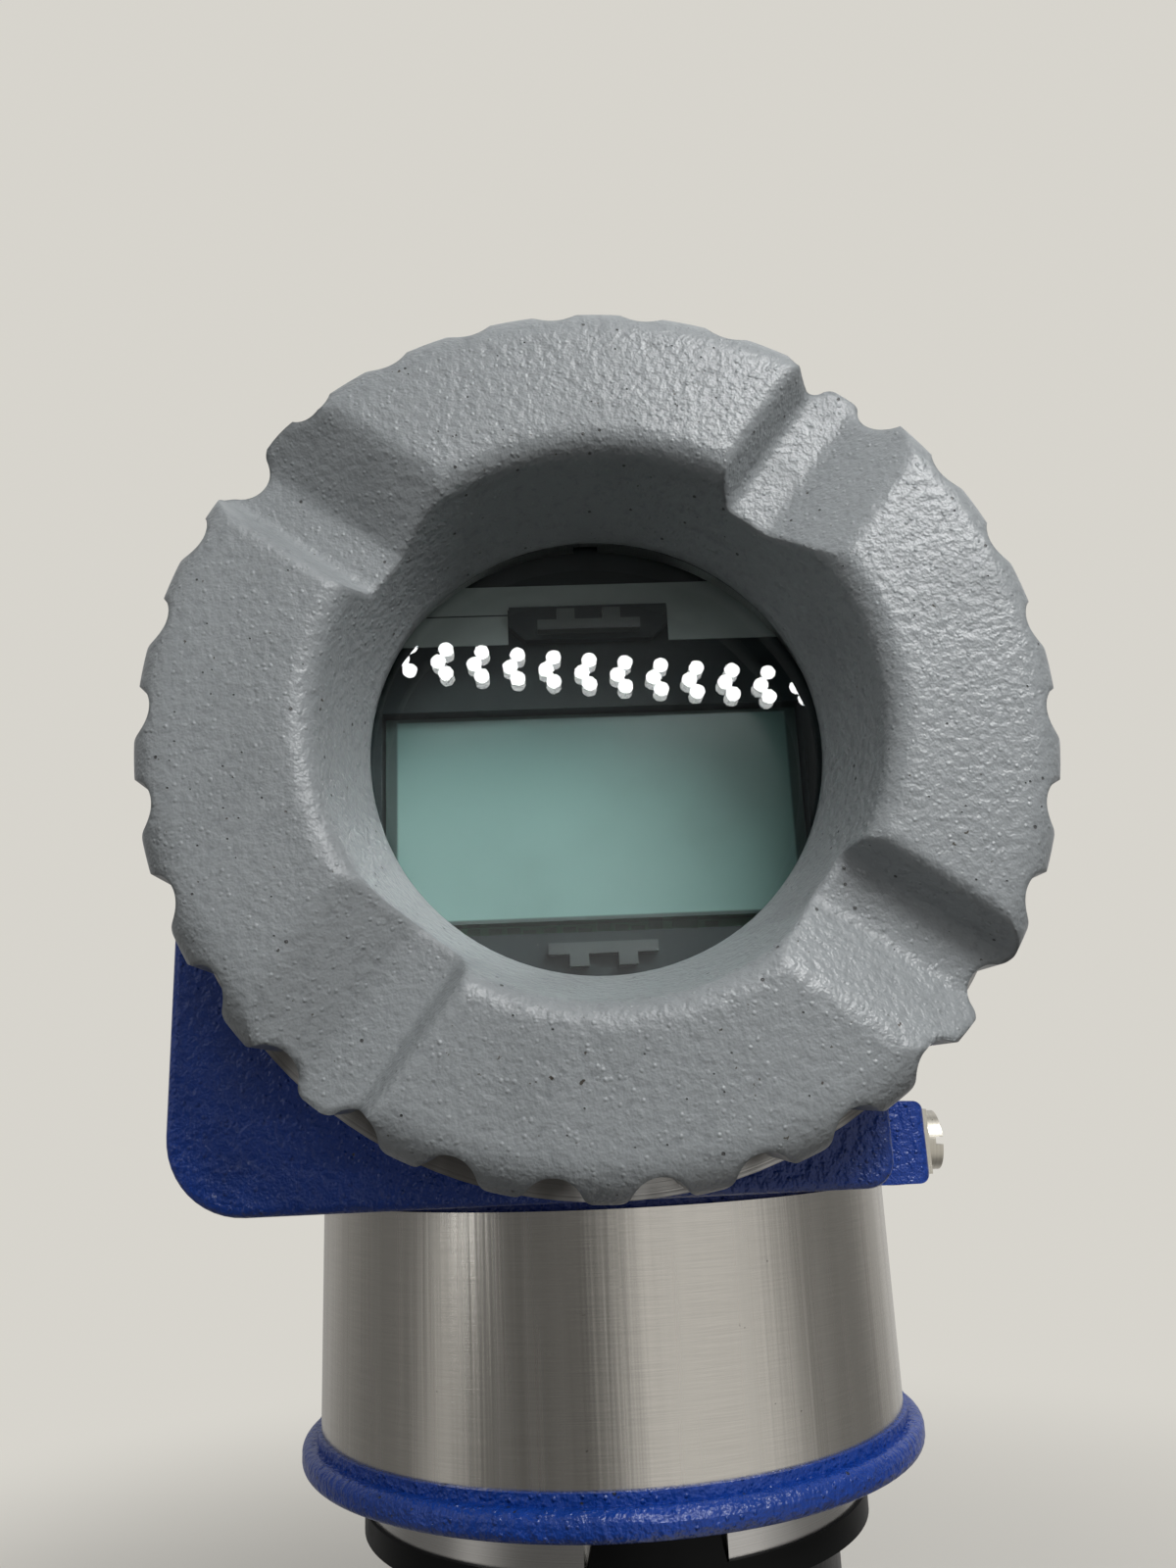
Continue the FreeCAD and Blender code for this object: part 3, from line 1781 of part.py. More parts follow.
def sensor_board():
    """The round board on the neck's ledge, its connector and the lead to the module."""
    cylinder(
        "sensor_board",
        dim.neck_tube_hole - dim.fit_clearance,
        dim.sensor_board_thickness,
        z=dim.neck_tube_ledge,
    )
    corner = -dim.connector_length / 2
    side = -dim.connector_width / 2
    box(
        "sensor_connector",
        dim.connector_length,
        dim.connector_width,
        dim.connector_height,
        corner,
        side,
        sensor_board_top,
    )
    lead_bottom = connector_top + dim.turn_clearance
    plug_height = dim.connector_height / 2
    lead_top = module_bottom + dim.module_socket_depth
    fuse(
        "sensor_cable",
        box(
            "cable_lower_plug",
            dim.connector_length,
            dim.connector_width,
            plug_height,
            corner,
            side,
            lead_bottom,
        ),
        box(
            "cable_ribbon",
            dim.ribbon_width,
            dim.ribbon_thickness,
            lead_top - lead_bottom,
            -dim.ribbon_width / 2,
            -dim.ribbon_thickness / 2,
            lead_bottom,
        ),
        box(
            "cable_upper_plug",
            dim.connector_length,
            dim.connector_width,
            dim.module_socket_depth,
            corner,
            side,
            module_bottom,
        ),
    )


def process_connector():
    """The hexagon with its nipple, spigot, port and pressure bore."""
    nipple = turned_body(
        "process_nipple",
        [
            (ZERO, ZERO),
            (dim.nipple_radius - dim.nipple_chamfer, ZERO),
            (dim.nipple_radius, dim.nipple_chamfer),
            (dim.nipple_radius, dim.nipple_length),
            (ZERO, dim.nipple_length),
        ],
        "z",
    )
    hexagon = prism(
        "process_hexagon",
        dim.hexagon_width,
        dim.sensor_bottom - dim.nipple_length,
        z=dim.nipple_length,
    )
    spigot = cylinder(
        "process_spigot",
        dim.spigot_radius,
        dim.spigot_height,
        z=dim.sensor_bottom,
    )
    port = cylinder("process_port", dim.port_radius, dim.port_depth)
    bore = cylinder("pressure_bore", dim.pressure_bore_radius, spigot_top)
    cut(
        "process_connector",
        fuse("process_connector_blank", nipple, hexagon, spigot),
        port,
        bore,
    )


housing()
data_plate()
ground_screw_pieces()
conduit_plug()
front_cover()
window_pieces()
cover_seal("front_cover_seal", -1)
rear_cover()
cover_seal("rear_cover_seal", 1)
display()
electronics()
terminals()
sensor_neck()
rotation_stop_ring()
sensor_body()
capsule()
sensor_board()
process_connector()

NODES = [
    "housing",
    "data_plate",
    "data_plate_screws",
    "ground_screw",
    "ground_clamp",
    "lug_set_screw",
    "conduit_plug",
    "front_cover",
    "front_cover_window",
    "window_gasket",
    "window_retaining_ring",
    "front_cover_seal",
    "rear_cover",
    "rear_cover_seal",
    "display_frame",
    "display_panel",
    "display_label",
    "display_clips",
    "display_board",
    "display_carrier",
    "electronics_module",
    "module_screws",
    "terminal_block",
    "terminal_clamps",
    "terminal_screws",
    "terminal_block_screws",
    "internal_ground_screw",
    "sensor_neck",
    "neck_seal",
    "rotation_stop_ring",
    "sensor_body",
    "sensor_capsule",
    "isolating_diaphragm",
    "capsule_seal",
    "capsule_pins",
    "sensor_board",
    "sensor_connector",
    "sensor_cable",
    "process_connector",
]

doc.recompute()
for item in doc.Objects:
    if "Invalid" in item.State or "Error" in item.State:
        raise RuntimeError(f"{item.Label} failed: {item.State}")
os.makedirs("parts", exist_ok=True)
for node in NODES:
    piece = doc.getObject(node)
    shape = piece.Shape
    if shape.isNull() or not shape.isValid():
        raise RuntimeError(f"{node} has no valid shape")
    piece.Label = node
    shape.exportStep(f"parts/{node}.step")
    print(f"{node}: {len(shape.Solids)} solid(s), {shape.Volume / 1000:.2f} cubic cm")
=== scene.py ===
# %% [markdown]
# A pressure transmitter with a scalloped cover and a round window. The metal, glass and
# plastic parts come from a finished CAD model, which sets every size. This lesson gives each
# of them its finish, cuts real threads into the one part whose outline shows them, and then
# lights and frames the whole. No overall size changes.

import math

import bmesh
import bpy
from mathutils import Matrix, Vector


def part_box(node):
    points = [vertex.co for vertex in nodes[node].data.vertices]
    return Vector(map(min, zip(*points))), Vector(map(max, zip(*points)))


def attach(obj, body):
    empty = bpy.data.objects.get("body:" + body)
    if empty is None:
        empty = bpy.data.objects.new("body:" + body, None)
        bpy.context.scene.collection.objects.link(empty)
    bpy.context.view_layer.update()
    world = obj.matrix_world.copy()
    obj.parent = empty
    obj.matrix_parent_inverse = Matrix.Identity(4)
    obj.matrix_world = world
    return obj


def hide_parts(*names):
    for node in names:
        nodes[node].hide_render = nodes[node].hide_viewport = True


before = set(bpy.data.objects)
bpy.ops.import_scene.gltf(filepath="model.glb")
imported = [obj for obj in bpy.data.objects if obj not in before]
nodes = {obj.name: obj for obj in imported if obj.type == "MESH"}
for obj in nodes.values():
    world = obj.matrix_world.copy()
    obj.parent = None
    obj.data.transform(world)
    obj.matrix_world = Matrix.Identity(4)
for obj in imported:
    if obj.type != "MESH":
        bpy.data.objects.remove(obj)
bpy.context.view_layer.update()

# %% [markdown]
# Blender works in metres, and this part is small. Every length below is written in
# millimetres and turned into metres by one value. The neck's axis is x = 0, y = 0. Both
# covers are centred at one height on it and seat at one distance from it, so those two
# places set almost all others. They are read from the model, which keeps them right when a
# size changes there.

# %% Units and the two places that all else follows
MM = 0.001


def middle(name):
    """The middle of a CAD node's box."""
    painted_hollow_shade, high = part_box(name)
    return (painted_hollow_shade + high) / 2


CENTRE = middle("front_cover_window").z
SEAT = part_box("housing")[1].y
print(f"covers centred {CENTRE / MM:.1f} mm up, seats {SEAT / MM:.1f} mm from the neck's axis")

# %% [markdown]
# A material is a small graph of nodes. Five short helpers keep the graphs readable: one
# adds a node and fills its inputs, one does arithmetic, one turns a range of values into a
# mask from 0 to 1, and two blend by such a mask. An input is either a plain value or another
# node's output.

# %% Add a node, do arithmetic, make a mask
def add(tree, kind, inputs=None, **settings):
    """One shader node with its settings and inputs, which are values or other outputs."""
    made = tree.nodes.new(kind)
    for name, value in settings.items():
        setattr(made, name, value)
    for name, value in (inputs or {}).items():
        if isinstance(value, bpy.types.NodeSocket):
            tree.links.new(value, made.inputs[name])
        else:
            made.inputs[name].default_value = value
    return made


def calc(tree, operation, first, second=0.0, clamp=False):
    """The result of one sum, product, power or comparison."""
    inputs = {0: first, 1: second}
    return add(tree, "ShaderNodeMath", inputs, operation=operation, use_clamp=clamp).outputs[0]


def fade(tree, value, start, end):
    """A mask that goes from 0 to 1 while the value goes from start to end."""
    inputs = {"Value": value, "From Min": start, "From Max": end}
    return add(tree, "ShaderNodeMapRange", inputs, interpolation_type="SMOOTHSTEP").outputs[0]


# %% Blend two colours or two values
def blend_colour(tree, mask, first, second):
    """The first colour where the mask is 0 and the second where it is 1."""
    inputs = {"Factor": mask, "A": first, "B": second}
    return add(tree, "ShaderNodeMix", inputs, data_type="RGBA").outputs[2]


def blend_value(tree, mask, first, second):
    """The first value where the mask is 0 and the second where it is 1."""
    inputs = {"Factor": mask, "A": first, "B": second}
    return add(tree, "ShaderNodeMix", inputs, data_type="FLOAT").outputs[0]


# %% [markdown]
# Several finishes share an effect, such as the grain of paint over a casting. Each effect is
# a node group, built once and used with other values in every material that needs it. A
# group gives out only values, and the shader stays outside.

# %% A way to start a node group
def start_group(name, inputs, outputs):
    """A node group with named float or vector inputs and named float outputs."""
    group = bpy.data.node_groups.new(name, "ShaderNodeTree")
    for label, value in inputs.items():
        kind = "NodeSocketVector" if value is None else "NodeSocketFloat"
        socket = group.interface.new_socket(name=label, in_out="INPUT", socket_type=kind)
        if value is not None:
            socket.default_value = value
    for label in outputs:
        group.interface.new_socket(name=label, in_out="OUTPUT", socket_type="NodeSocketFloat")
    return group, group.nodes.new("NodeGroupInput").outputs, group.nodes.new("NodeGroupOutput").inputs


def use_group(tree, group, **inputs):
    """Places a group in a material with its own values and returns its outputs."""
    made = tree.nodes.new("ShaderNodeGroup")
    made.node_tree = group
    for name, value in inputs.items():
        socket = made.inputs[name.replace("_", " ")]
        if isinstance(value, bpy.types.NodeSocket):
            tree.links.new(value, socket)
        else:
            socket.default_value = value
    return made.outputs


# %% [markdown]
# Paint over a casting follows the sand's grain. Noise gives soft bumps, the cells of a
# Voronoi texture give small beads on them, and one cell in sixty or so is a pinhole.

# %% The grain of a painted casting
def cast_grain_group():
    """Soft bumps about as wide as Size, small beads on them, and a few pinholes."""
    group, given, result = start_group(
        "cast_grain", {"Place": None, "Size": 0.8 * MM}, ["Height", "Pits", "Waves"]
    )
    scale = calc(group, "DIVIDE", 0.7, given["Size"])
    bead_scale = calc(group, "MULTIPLY", scale, 1.5)
    wave_scale = calc(group, "MULTIPLY", scale, 0.14)
    bumps = add(
        group,
        "ShaderNodeTexNoise",
        {"Vector": given["Place"], "Scale": scale, "Detail": 2.5, "Roughness": 0.6},
    ).outputs["Fac"]
    cells = add(group, "ShaderNodeTexVoronoi", {"Vector": given["Place"], "Scale": bead_scale})
    chance = add(group, "ShaderNodeSeparateColor", {"Color": cells.outputs["Color"]}).outputs
    bead = fade(group, cells.outputs["Distance"], 0.42, 0.05)
    bead = calc(group, "MULTIPLY", bead, fade(group, chance[0], 0.45, 0.75))
    hole = fade(group, cells.outputs["Distance"], 0.3, 0.2)
    hole = calc(group, "MULTIPLY", hole, calc(group, "GREATER_THAN", chance[1], 0.985))
    waves = add(
        group, "ShaderNodeTexNoise", {"Vector": given["Place"], "Scale": wave_scale, "Detail": 2.0}
    ).outputs["Fac"]
    height = calc(group, "ADD", bumps, calc(group, "MULTIPLY", bead, 0.3))
    height = calc(group, "SUBTRACT", height, hole)
    group.links.new(height, result["Height"])
    group.links.new(hole, result["Pits"])
    group.links.new(waves, result["Waves"])
    return group


cast_grain = cast_grain_group()
print(f"{cast_grain.name}: {len(cast_grain.nodes)} nodes")

# %% [markdown]
# A lathe or a brush leaves fine lines. Noise makes them when it is fed one measure, such as
# a radius, and hardly changes along the other, so each spot draws out into a line.

# %% Fine lines from a lathe or a brush
def fine_lines_group():
    """Lines that lie across one measure, such as a radius or a height, Spacing apart."""
    group, given, result = start_group(
        "fine_lines", {"Measure": 0.0, "Along": 0.0, "Spacing": 0.2 * MM}, ["Height", "Tone"]
    )
    across = calc(group, "DIVIDE", given["Measure"], given["Spacing"])
    along = calc(group, "DIVIDE", given["Along"], given["Spacing"])
    stretched = calc(group, "MULTIPLY", along, 0.015)
    place = add(group, "ShaderNodeCombineXYZ", {"X": across, "Y": stretched}).outputs[0]
    lines = add(
        group, "ShaderNodeTexNoise", {"Vector": place, "Scale": 1.0, "Detail": 3.0, "Roughness": 0.7}
    ).outputs["Fac"]
    group.links.new(lines, result["Height"])
    group.links.new(fade(group, lines, 0.3, 0.7), result["Tone"])
    return group


fine_lines = fine_lines_group()
print(f"{fine_lines.name}: {len(fine_lines.nodes)} nodes")

# %% [markdown]
# A part that has been in a workshop has small dark specks and broad faint stains. Both are
# noise, once fine and cut off high so that only its peaks stay, and once broad and soft.

# %% Specks and stains from the workshop
def specks_group():
    """Small dark specks, Amount of them, and broad faint stains."""
    group, given, result = start_group(
        "specks", {"Place": None, "Size": 0.5 * MM, "Amount": 0.5}, ["Specks", "Stains"]
    )
    scale = calc(group, "DIVIDE", 1.0, given["Size"])
    broad = calc(group, "MULTIPLY", scale, 0.04)
    dots = add(
        group,
        "ShaderNodeTexNoise",
        {"Vector": given["Place"], "Scale": calc(group, "MULTIPLY", scale, 0.5), "Detail": 4.0},
    ).outputs["Fac"]
    edge = calc(group, "SUBTRACT", 0.78, calc(group, "MULTIPLY", given["Amount"], 0.2))
    over = calc(group, "SUBTRACT", dots, edge)
    group.links.new(fade(group, over, 0.0, 0.03), result["Specks"])
    stains = add(
        group, "ShaderNodeTexNoise", {"Vector": given["Place"], "Scale": broad, "Detail": 5.0}
    ).outputs["Fac"]
    group.links.new(fade(group, stains, 0.48, 0.7), result["Stains"])
    return group


specks = specks_group()
print(f"{specks.name}: {len(specks.nodes)} nodes")

# %% [markdown]
# A screw thread that hides behind a cover or deep in a hole needs no geometry. Its ridges
# repeat once per pitch along the axis and shift by one pitch per turn, so one sum of place
# and turn gives their height.

# %% Screw thread as relief
def thread_group():
    """Ridges of a thread from the place along its axis, the turn about it and the pitch."""
    group, given, result = start_group(
        "thread_relief", {"Along": 0.0, "Turn": 0.0, "Pitch": 2.0 * MM}, ["Height"]
    )
    turns = calc(group, "DIVIDE", given["Turn"], 2 * math.pi)
    rows = calc(group, "ADD", calc(group, "DIVIDE", given["Along"], given["Pitch"]), turns)
    ridge = calc(group, "PINGPONG", rows, 0.5)
    group.links.new(calc(group, "MULTIPLY", ridge, 2.0), result["Height"])
    return group


thread_relief = thread_group()
print(f"{thread_relief.name}: {len(thread_relief.nodes)} nodes")

# %% [markdown]
# Most finishes here change with place: paint stops where a surface was machined. The place
# comes from Object coordinates, which stay with a piece as it turns or slides. From them
# follow the distance from the covers' axis and from the neck's axis.

# %% Start a material and measure places on it
class Finish:
    """A new material with its Principled shader and the measures that finishes use."""

    def __init__(self, name, **inputs):
        self.material = bpy.data.materials.new(name)
        self.material.use_nodes = True
        self.tree = self.material.node_tree
        self.shader = self.tree.nodes["Principled BSDF"]
        for label, value in inputs.items():
            self.shader.inputs[label.replace("_", " ")].default_value = value
        self.place = add(self.tree, "ShaderNodeTexCoord").outputs["Object"]
        split = add(self.tree, "ShaderNodeSeparateXYZ", {"Vector": self.place}).outputs
        self.x, self.y, self.z = split[0], split[1], split[2]

    def distance(self, first, first_middle, second, second_middle):
        """How far a place is from an axis, from its offsets across that axis."""
        one = calc(self.tree, "POWER", calc(self.tree, "SUBTRACT", first, first_middle), 2.0)
        two = calc(self.tree, "POWER", calc(self.tree, "SUBTRACT", second, second_middle), 2.0)
        return calc(self.tree, "SQRT", calc(self.tree, "ADD", one, two))

    def link(self, output, name):
        """Feeds one of the shader's inputs."""
        self.tree.links.new(output, self.shader.inputs[name])

    def bump(self, height, distance, before=None):
        """Adds relief of this depth in metres, over an earlier relief if there is one."""
        inputs = {"Height": height, "Distance": distance, "Strength": 1.0}
        if before is not None:
            inputs["Normal"] = before
        return add(self.tree, "ShaderNodeBump", inputs).outputs["Normal"]


def dress(material, *names):
    """Gives a material to CAD nodes."""
    for name in names:
        mesh = nodes[name].data
        mesh.materials.clear()
        mesh.materials.append(material)
    print(f"{material.name}: {', '.join(names)}")


# %% [markdown]
# The covers are cast aluminium under grey powder coat. The coat has a grain of soft bumps
# under a millimetre wide, with painted highlight on the tops of the bumps, painted shade in
# their hollows and in its pinholes, and dark specks of dirt. Behind the rim the metal is
# bare and threaded, so the coat ends at the plane where the rim ends. Powder coat melts as
# it cures and flows over every edge, so the shader also softens the light on edges.

# %% Colour of the grey coat
def grey_paint(tree, grain, dirt, radius, depth):
    """Grey, with painted highlight on ridges, painted shade in hollows and pinholes, grime on the rim
    and a few specks.
    """
    paint = blend_colour(
        tree, dirt["Stains"], (0.254, 0.272, 0.28, 1), (0.223, 0.24, 0.247, 1)
    )
    # Painted highlight: the tops of the grain's bumps are paler.
    painted_bump_highlight = calc(tree, "MULTIPLY", fade(tree, grain["Height"], 0.55, 0.95), 0.35)
    paint = blend_colour(tree, painted_bump_highlight, paint, (0.36, 0.38, 0.39, 1))
    # Painted shade: the hollows between the bumps are darker.
    painted_hollow_shade = calc(tree, "MULTIPLY", fade(tree, grain["Height"], 0.48, 0.3), 0.4)
    paint = blend_colour(tree, painted_hollow_shade, paint, (0.16, 0.172, 0.18, 1))
    # Painted shade darkens the pinholes.
    paint = blend_colour(tree, grain["Pits"], paint, (0.07, 0.07, 0.07, 1))
    near_rim = fade(tree, radius, 44.0 * MM, 47.0 * MM)
    near_seat = fade(tree, depth, SEAT + 13.0 * MM, SEAT + 3.0 * MM)
    grime = calc(tree, "MULTIPLY", near_rim, near_seat)
    grime = calc(tree, "MULTIPLY", grime, fade(tree, grain["Waves"], 0.45, 0.62))
    grime = calc(tree, "MULTIPLY", grime, 0.55)
    paint = blend_colour(tree, grime, paint, (0.11, 0.11, 0.1, 1))
    return blend_colour(tree, dirt["Specks"], paint, (0.05, 0.043, 0.035, 1))


# %% Grey powder coat, and bare threaded metal inside
COVER_THREAD_RADIUS, COVER_THREAD_PITCH = 39.0 * MM, 2.117 * MM


def grey_coat():
    """Powder coat outside and bare threaded metal inside the covers."""
    finish = Finish("grey_powder_coat", Roughness=0.42)
    tree = finish.tree
    grain = use_group(tree, cast_grain, Place=finish.place, Size=0.72 * MM)
    dirt = use_group(tree, specks, Place=finish.place, Size=0.5 * MM, Amount=0.3)
    radius = finish.distance(finish.x, 0.0, finish.z, CENTRE)
    depth = calc(tree, "ABSOLUTE", finish.y)
    paint = grey_paint(tree, grain, dirt, radius, depth)
    bare = fade(tree, depth, SEAT + 0.35 * MM, SEAT + 0.25 * MM)
    turned = use_group(tree, fine_lines, Measure=depth, Along=radius, Spacing=0.15 * MM)
    metal = blend_colour(tree, turned["Tone"], (0.5, 0.5, 0.5, 1), (0.62, 0.62, 0.62, 1))
    finish.link(blend_colour(tree, bare, paint, metal), "Base Color")
    finish.link(bare, "Metallic")
    coat_roughness = blend_value(tree, dirt["Stains"], 0.36, 0.46)
    finish.link(blend_value(tree, bare, coat_roughness, 0.32), "Roughness")
    painted = calc(tree, "SUBTRACT", 1.0, bare)
    coat_height = calc(tree, "MULTIPLY", grain["Height"], painted)
    flowed = add(tree, "ShaderNodeBevel", {"Radius": 1.3 * MM}, samples=6).outputs[0]
    normal = finish.bump(coat_height, 0.23 * MM, flowed)
    turn = calc(tree, "ARCTAN2", finish.x, calc(tree, "SUBTRACT", finish.z, CENTRE))
    outwards = calc(tree, "SIGN", calc(tree, "MULTIPLY", finish.y, -1.0))
    turn = calc(tree, "MULTIPLY", turn, outwards)
    thread = use_group(tree, thread_relief, Along=depth, Turn=turn, Pitch=COVER_THREAD_PITCH)
    skirt = fade(tree, radius, COVER_THREAD_RADIUS, COVER_THREAD_RADIUS + 0.3 * MM)
    threaded = calc(tree, "MULTIPLY", bare, skirt)
    ridges = calc(tree, "MULTIPLY", thread["Height"], threaded)
    finish.link(finish.bump(ridges, 0.9 * MM, normal), "Normal")
    return finish.material


dress(grey_coat(), "front_cover", "rear_cover")

# %% [markdown]
# The housing is cast the same way and has deep blue enamel, which flows more than powder
# coat, so its grain is coarser and shinier. The two faces that seal against the covers are
# machined bare, and so are the chamber, the conduit entries and the neck's bore. A mask for
# each comes from how near a place is to that bore's axis. The plug sits in one conduit
# entry, so its middle gives the axis of both.

# %% Where the housing is bare metal
plug_middle = middle("conduit_plug")
CONDUIT_HEIGHT, CONDUIT_SETBACK = plug_middle.z, plug_middle.y
CHAMBER_RADIUS, CONDUIT_RADIUS, NECK_BORE_RADIUS = 39.7 * MM, 9.9 * MM, 26.2 * MM
NECK_BORE_TOP = 82.0 * MM


def inside(tree, distance, radius):
    """A mask for places nearer to an axis than this radius."""
    return fade(tree, distance, radius, radius - 0.1 * MM)


def bare_places(finish, radius, seat):
    """Masks for all bare metal of the housing and for its conduit entries alone."""
    tree = finish.tree
    conduit_distance = finish.distance(finish.y, CONDUIT_SETBACK, finish.z, CONDUIT_HEIGHT)
    conduit = inside(tree, conduit_distance, CONDUIT_RADIUS)
    neck = inside(tree, finish.distance(finish.x, 0.0, finish.y, 0.0), NECK_BORE_RADIUS)
    below = fade(tree, finish.z, NECK_BORE_TOP, NECK_BORE_TOP - 1.0 * MM)
    neck = calc(tree, "MULTIPLY", neck, below)
    bare = seat
    for mask in (inside(tree, radius, CHAMBER_RADIUS), conduit, neck):
        bare = calc(tree, "MAXIMUM", bare, mask)
    return bare, conduit


# %% [markdown]
# The rings that a lathe left show on the seats. Their outer edge stands in the open and is
# darkened in patches by grime and painted shade. In the conduit entries the thread shows,
# and light that grazes its ridges is enough to draw them, so they are relief too.

# %% Turned seats and the thread in the conduit entries
CONDUIT_PITCH = 1.814 * MM


def seat_metal(tree, rings, edge, grain):
    """Turned metal, and its outer edge darkened in patches by grime and painted shade."""
    # Grime and painted shade darken the seat's outer edge in patches, where the cover's rim overlaps
    # it.
    grime_and_painted_shade = calc(tree, "MULTIPLY", edge, fade(tree, grain["Waves"], 0.4, 0.65))
    grime_and_painted_shade = calc(tree, "MULTIPLY", grime_and_painted_shade, 0.75)
    metal = blend_colour(tree, rings["Tone"], (0.4, 0.395, 0.38, 1), (0.62, 0.61, 0.59, 1))
    return blend_colour(tree, grime_and_painted_shade, metal, (0.07, 0.06, 0.05, 1)), grime_and_painted_shade


def conduit_ridges(finish, conduit):
    """Heights of the right-hand thread in both conduit entries."""
    tree = finish.tree
    up = calc(tree, "SUBTRACT", finish.z, CONDUIT_HEIGHT)
    across = calc(tree, "SUBTRACT", finish.y, CONDUIT_SETBACK)
    turn = calc(tree, "ARCTAN2", up, across)
    along = calc(tree, "ABSOLUTE", finish.x)
    thread = use_group(tree, thread_relief, Along=along, Turn=turn, Pitch=CONDUIT_PITCH)
    return calc(tree, "MULTIPLY", thread["Height"], conduit)


# %% Blue enamel
def blue_enamel():
    """Blue enamel outside, turned metal on the two seats and in the bores."""
    finish = Finish("blue_enamel", Roughness=0.35, Coat_Weight=0.06, Coat_Roughness=0.15)
    tree = finish.tree
    grain = use_group(tree, cast_grain, Place=finish.place, Size=0.8 * MM)
    dirt = use_group(tree, specks, Place=finish.place, Size=0.6 * MM, Amount=0.3)
    paint = blend_colour(
        tree, dirt["Stains"], (0.001, 0.038, 0.27, 1), (0.001, 0.032, 0.22, 1)
    )
    # Painted shade darkens the pinholes.
    paint = blend_colour(tree, grain["Pits"], paint, (0.012, 0.02, 0.05, 1))
    paint = blend_colour(tree, dirt["Specks"], paint, (0.02, 0.02, 0.02, 1))
    radius = finish.distance(finish.x, 0.0, finish.z, CENTRE)
    depth = calc(tree, "ABSOLUTE", finish.y)
    seat = fade(tree, depth, SEAT - 0.12 * MM, SEAT - 0.06 * MM)
    bare, conduit = bare_places(finish, radius, seat)
    rings = use_group(tree, fine_lines, Measure=radius, Spacing=0.22 * MM)
    edge = calc(tree, "MULTIPLY", seat, fade(tree, radius, 44.5 * MM, 46.5 * MM))
    metal, grime_and_painted_shade = seat_metal(tree, rings, edge, grain)
    finish.link(blend_colour(tree, bare, paint, metal), "Base Color")
    finish.link(calc(tree, "SUBTRACT", bare, grime_and_painted_shade, clamp=True), "Metallic")
    finish.link(blend_value(tree, bare, 0.35, 0.3), "Roughness")
    painted = calc(tree, "SUBTRACT", 1.0, bare)
    normal = finish.bump(calc(tree, "MULTIPLY", grain["Height"], painted), 0.5 * MM)
    normal = finish.bump(calc(tree, "MULTIPLY", rings["Height"], seat), 0.06 * MM, normal)
    normal = finish.bump(conduit_ridges(finish, conduit), 0.9 * MM, normal)
    finish.link(normal, "Normal")
    return finish.material


dress(blue_enamel(), "housing")

# %% [markdown]
# The band round the neck is thin stainless sheet. Its rolling left fine lines round the
# neck, and bending it left slight flats, which break its reflections into upright bars.
# Metal has no colour of its own beyond a tint of what it mirrors, so most of its look comes
# from roughness.

# %% Stainless band
BAND_RADIUS = 37.6 * MM


def stainless_band():
    """Rolled stainless sheet with lines round the neck and slight upright flats."""
    finish = Finish("stainless_band", Metallic=1.0)
    tree = finish.tree
    turn = calc(tree, "ARCTAN2", finish.x, finish.y)
    around = calc(tree, "MULTIPLY", turn, BAND_RADIUS)
    lines = use_group(tree, fine_lines, Measure=finish.z, Along=around, Spacing=0.12 * MM)
    streaks = use_group(tree, fine_lines, Measure=around, Along=finish.z, Spacing=2.6 * MM)
    dirt = use_group(tree, specks, Place=finish.place, Size=0.35 * MM, Amount=0.1)
    steel = blend_colour(tree, lines["Tone"], (0.57, 0.55, 0.505, 1), (0.64, 0.615, 0.565, 1))
    steel = blend_colour(tree, dirt["Specks"], steel, (0.2, 0.19, 0.17, 1))
    finish.link(steel, "Base Color")
    finish.link(blend_value(tree, streaks["Tone"], 0.2, 0.3), "Roughness")
    normal = finish.bump(lines["Height"], 0.008 * MM)
    normal = finish.bump(streaks["Height"], 0.06 * MM, normal)
    finish.link(normal, "Normal")
    return finish.material


dress(stainless_band(), "data_plate")

# %% [markdown]
# Turned and plated steel parts share one recipe with other values: fine rings along the
# part's own axis, a tint, and a roughness. Stainless is neutral, zinc plating is a little
# yellow, and the old set screw has gone brown.

# %% Turned and plated metals
def turned_metal(name, dark, light, roughness, axis="z", dirt_amount=0.1):
    """Metal with lathe rings along one axis between two tints."""
    finish = Finish(name, Metallic=1.0, Roughness=roughness)
    tree = finish.tree
    measure = {"x": finish.x, "y": finish.y, "z": finish.z}[axis]
    rings = use_group(tree, fine_lines, Measure=measure, Spacing=0.14 * MM)
    dirt = use_group(tree, specks, Place=finish.place, Size=0.4 * MM, Amount=dirt_amount)
    metal = blend_colour(tree, rings["Tone"], (*dark, 1), (*light, 1))
    metal = blend_colour(tree, dirt["Specks"], metal, (0.06, 0.05, 0.04, 1))
    finish.link(metal, "Base Color")
    finish.link(blend_value(tree, dirt["Stains"], roughness, roughness + 0.12), "Roughness")
    finish.link(finish.bump(rings["Height"], 0.012 * MM), "Normal")
    return finish.material


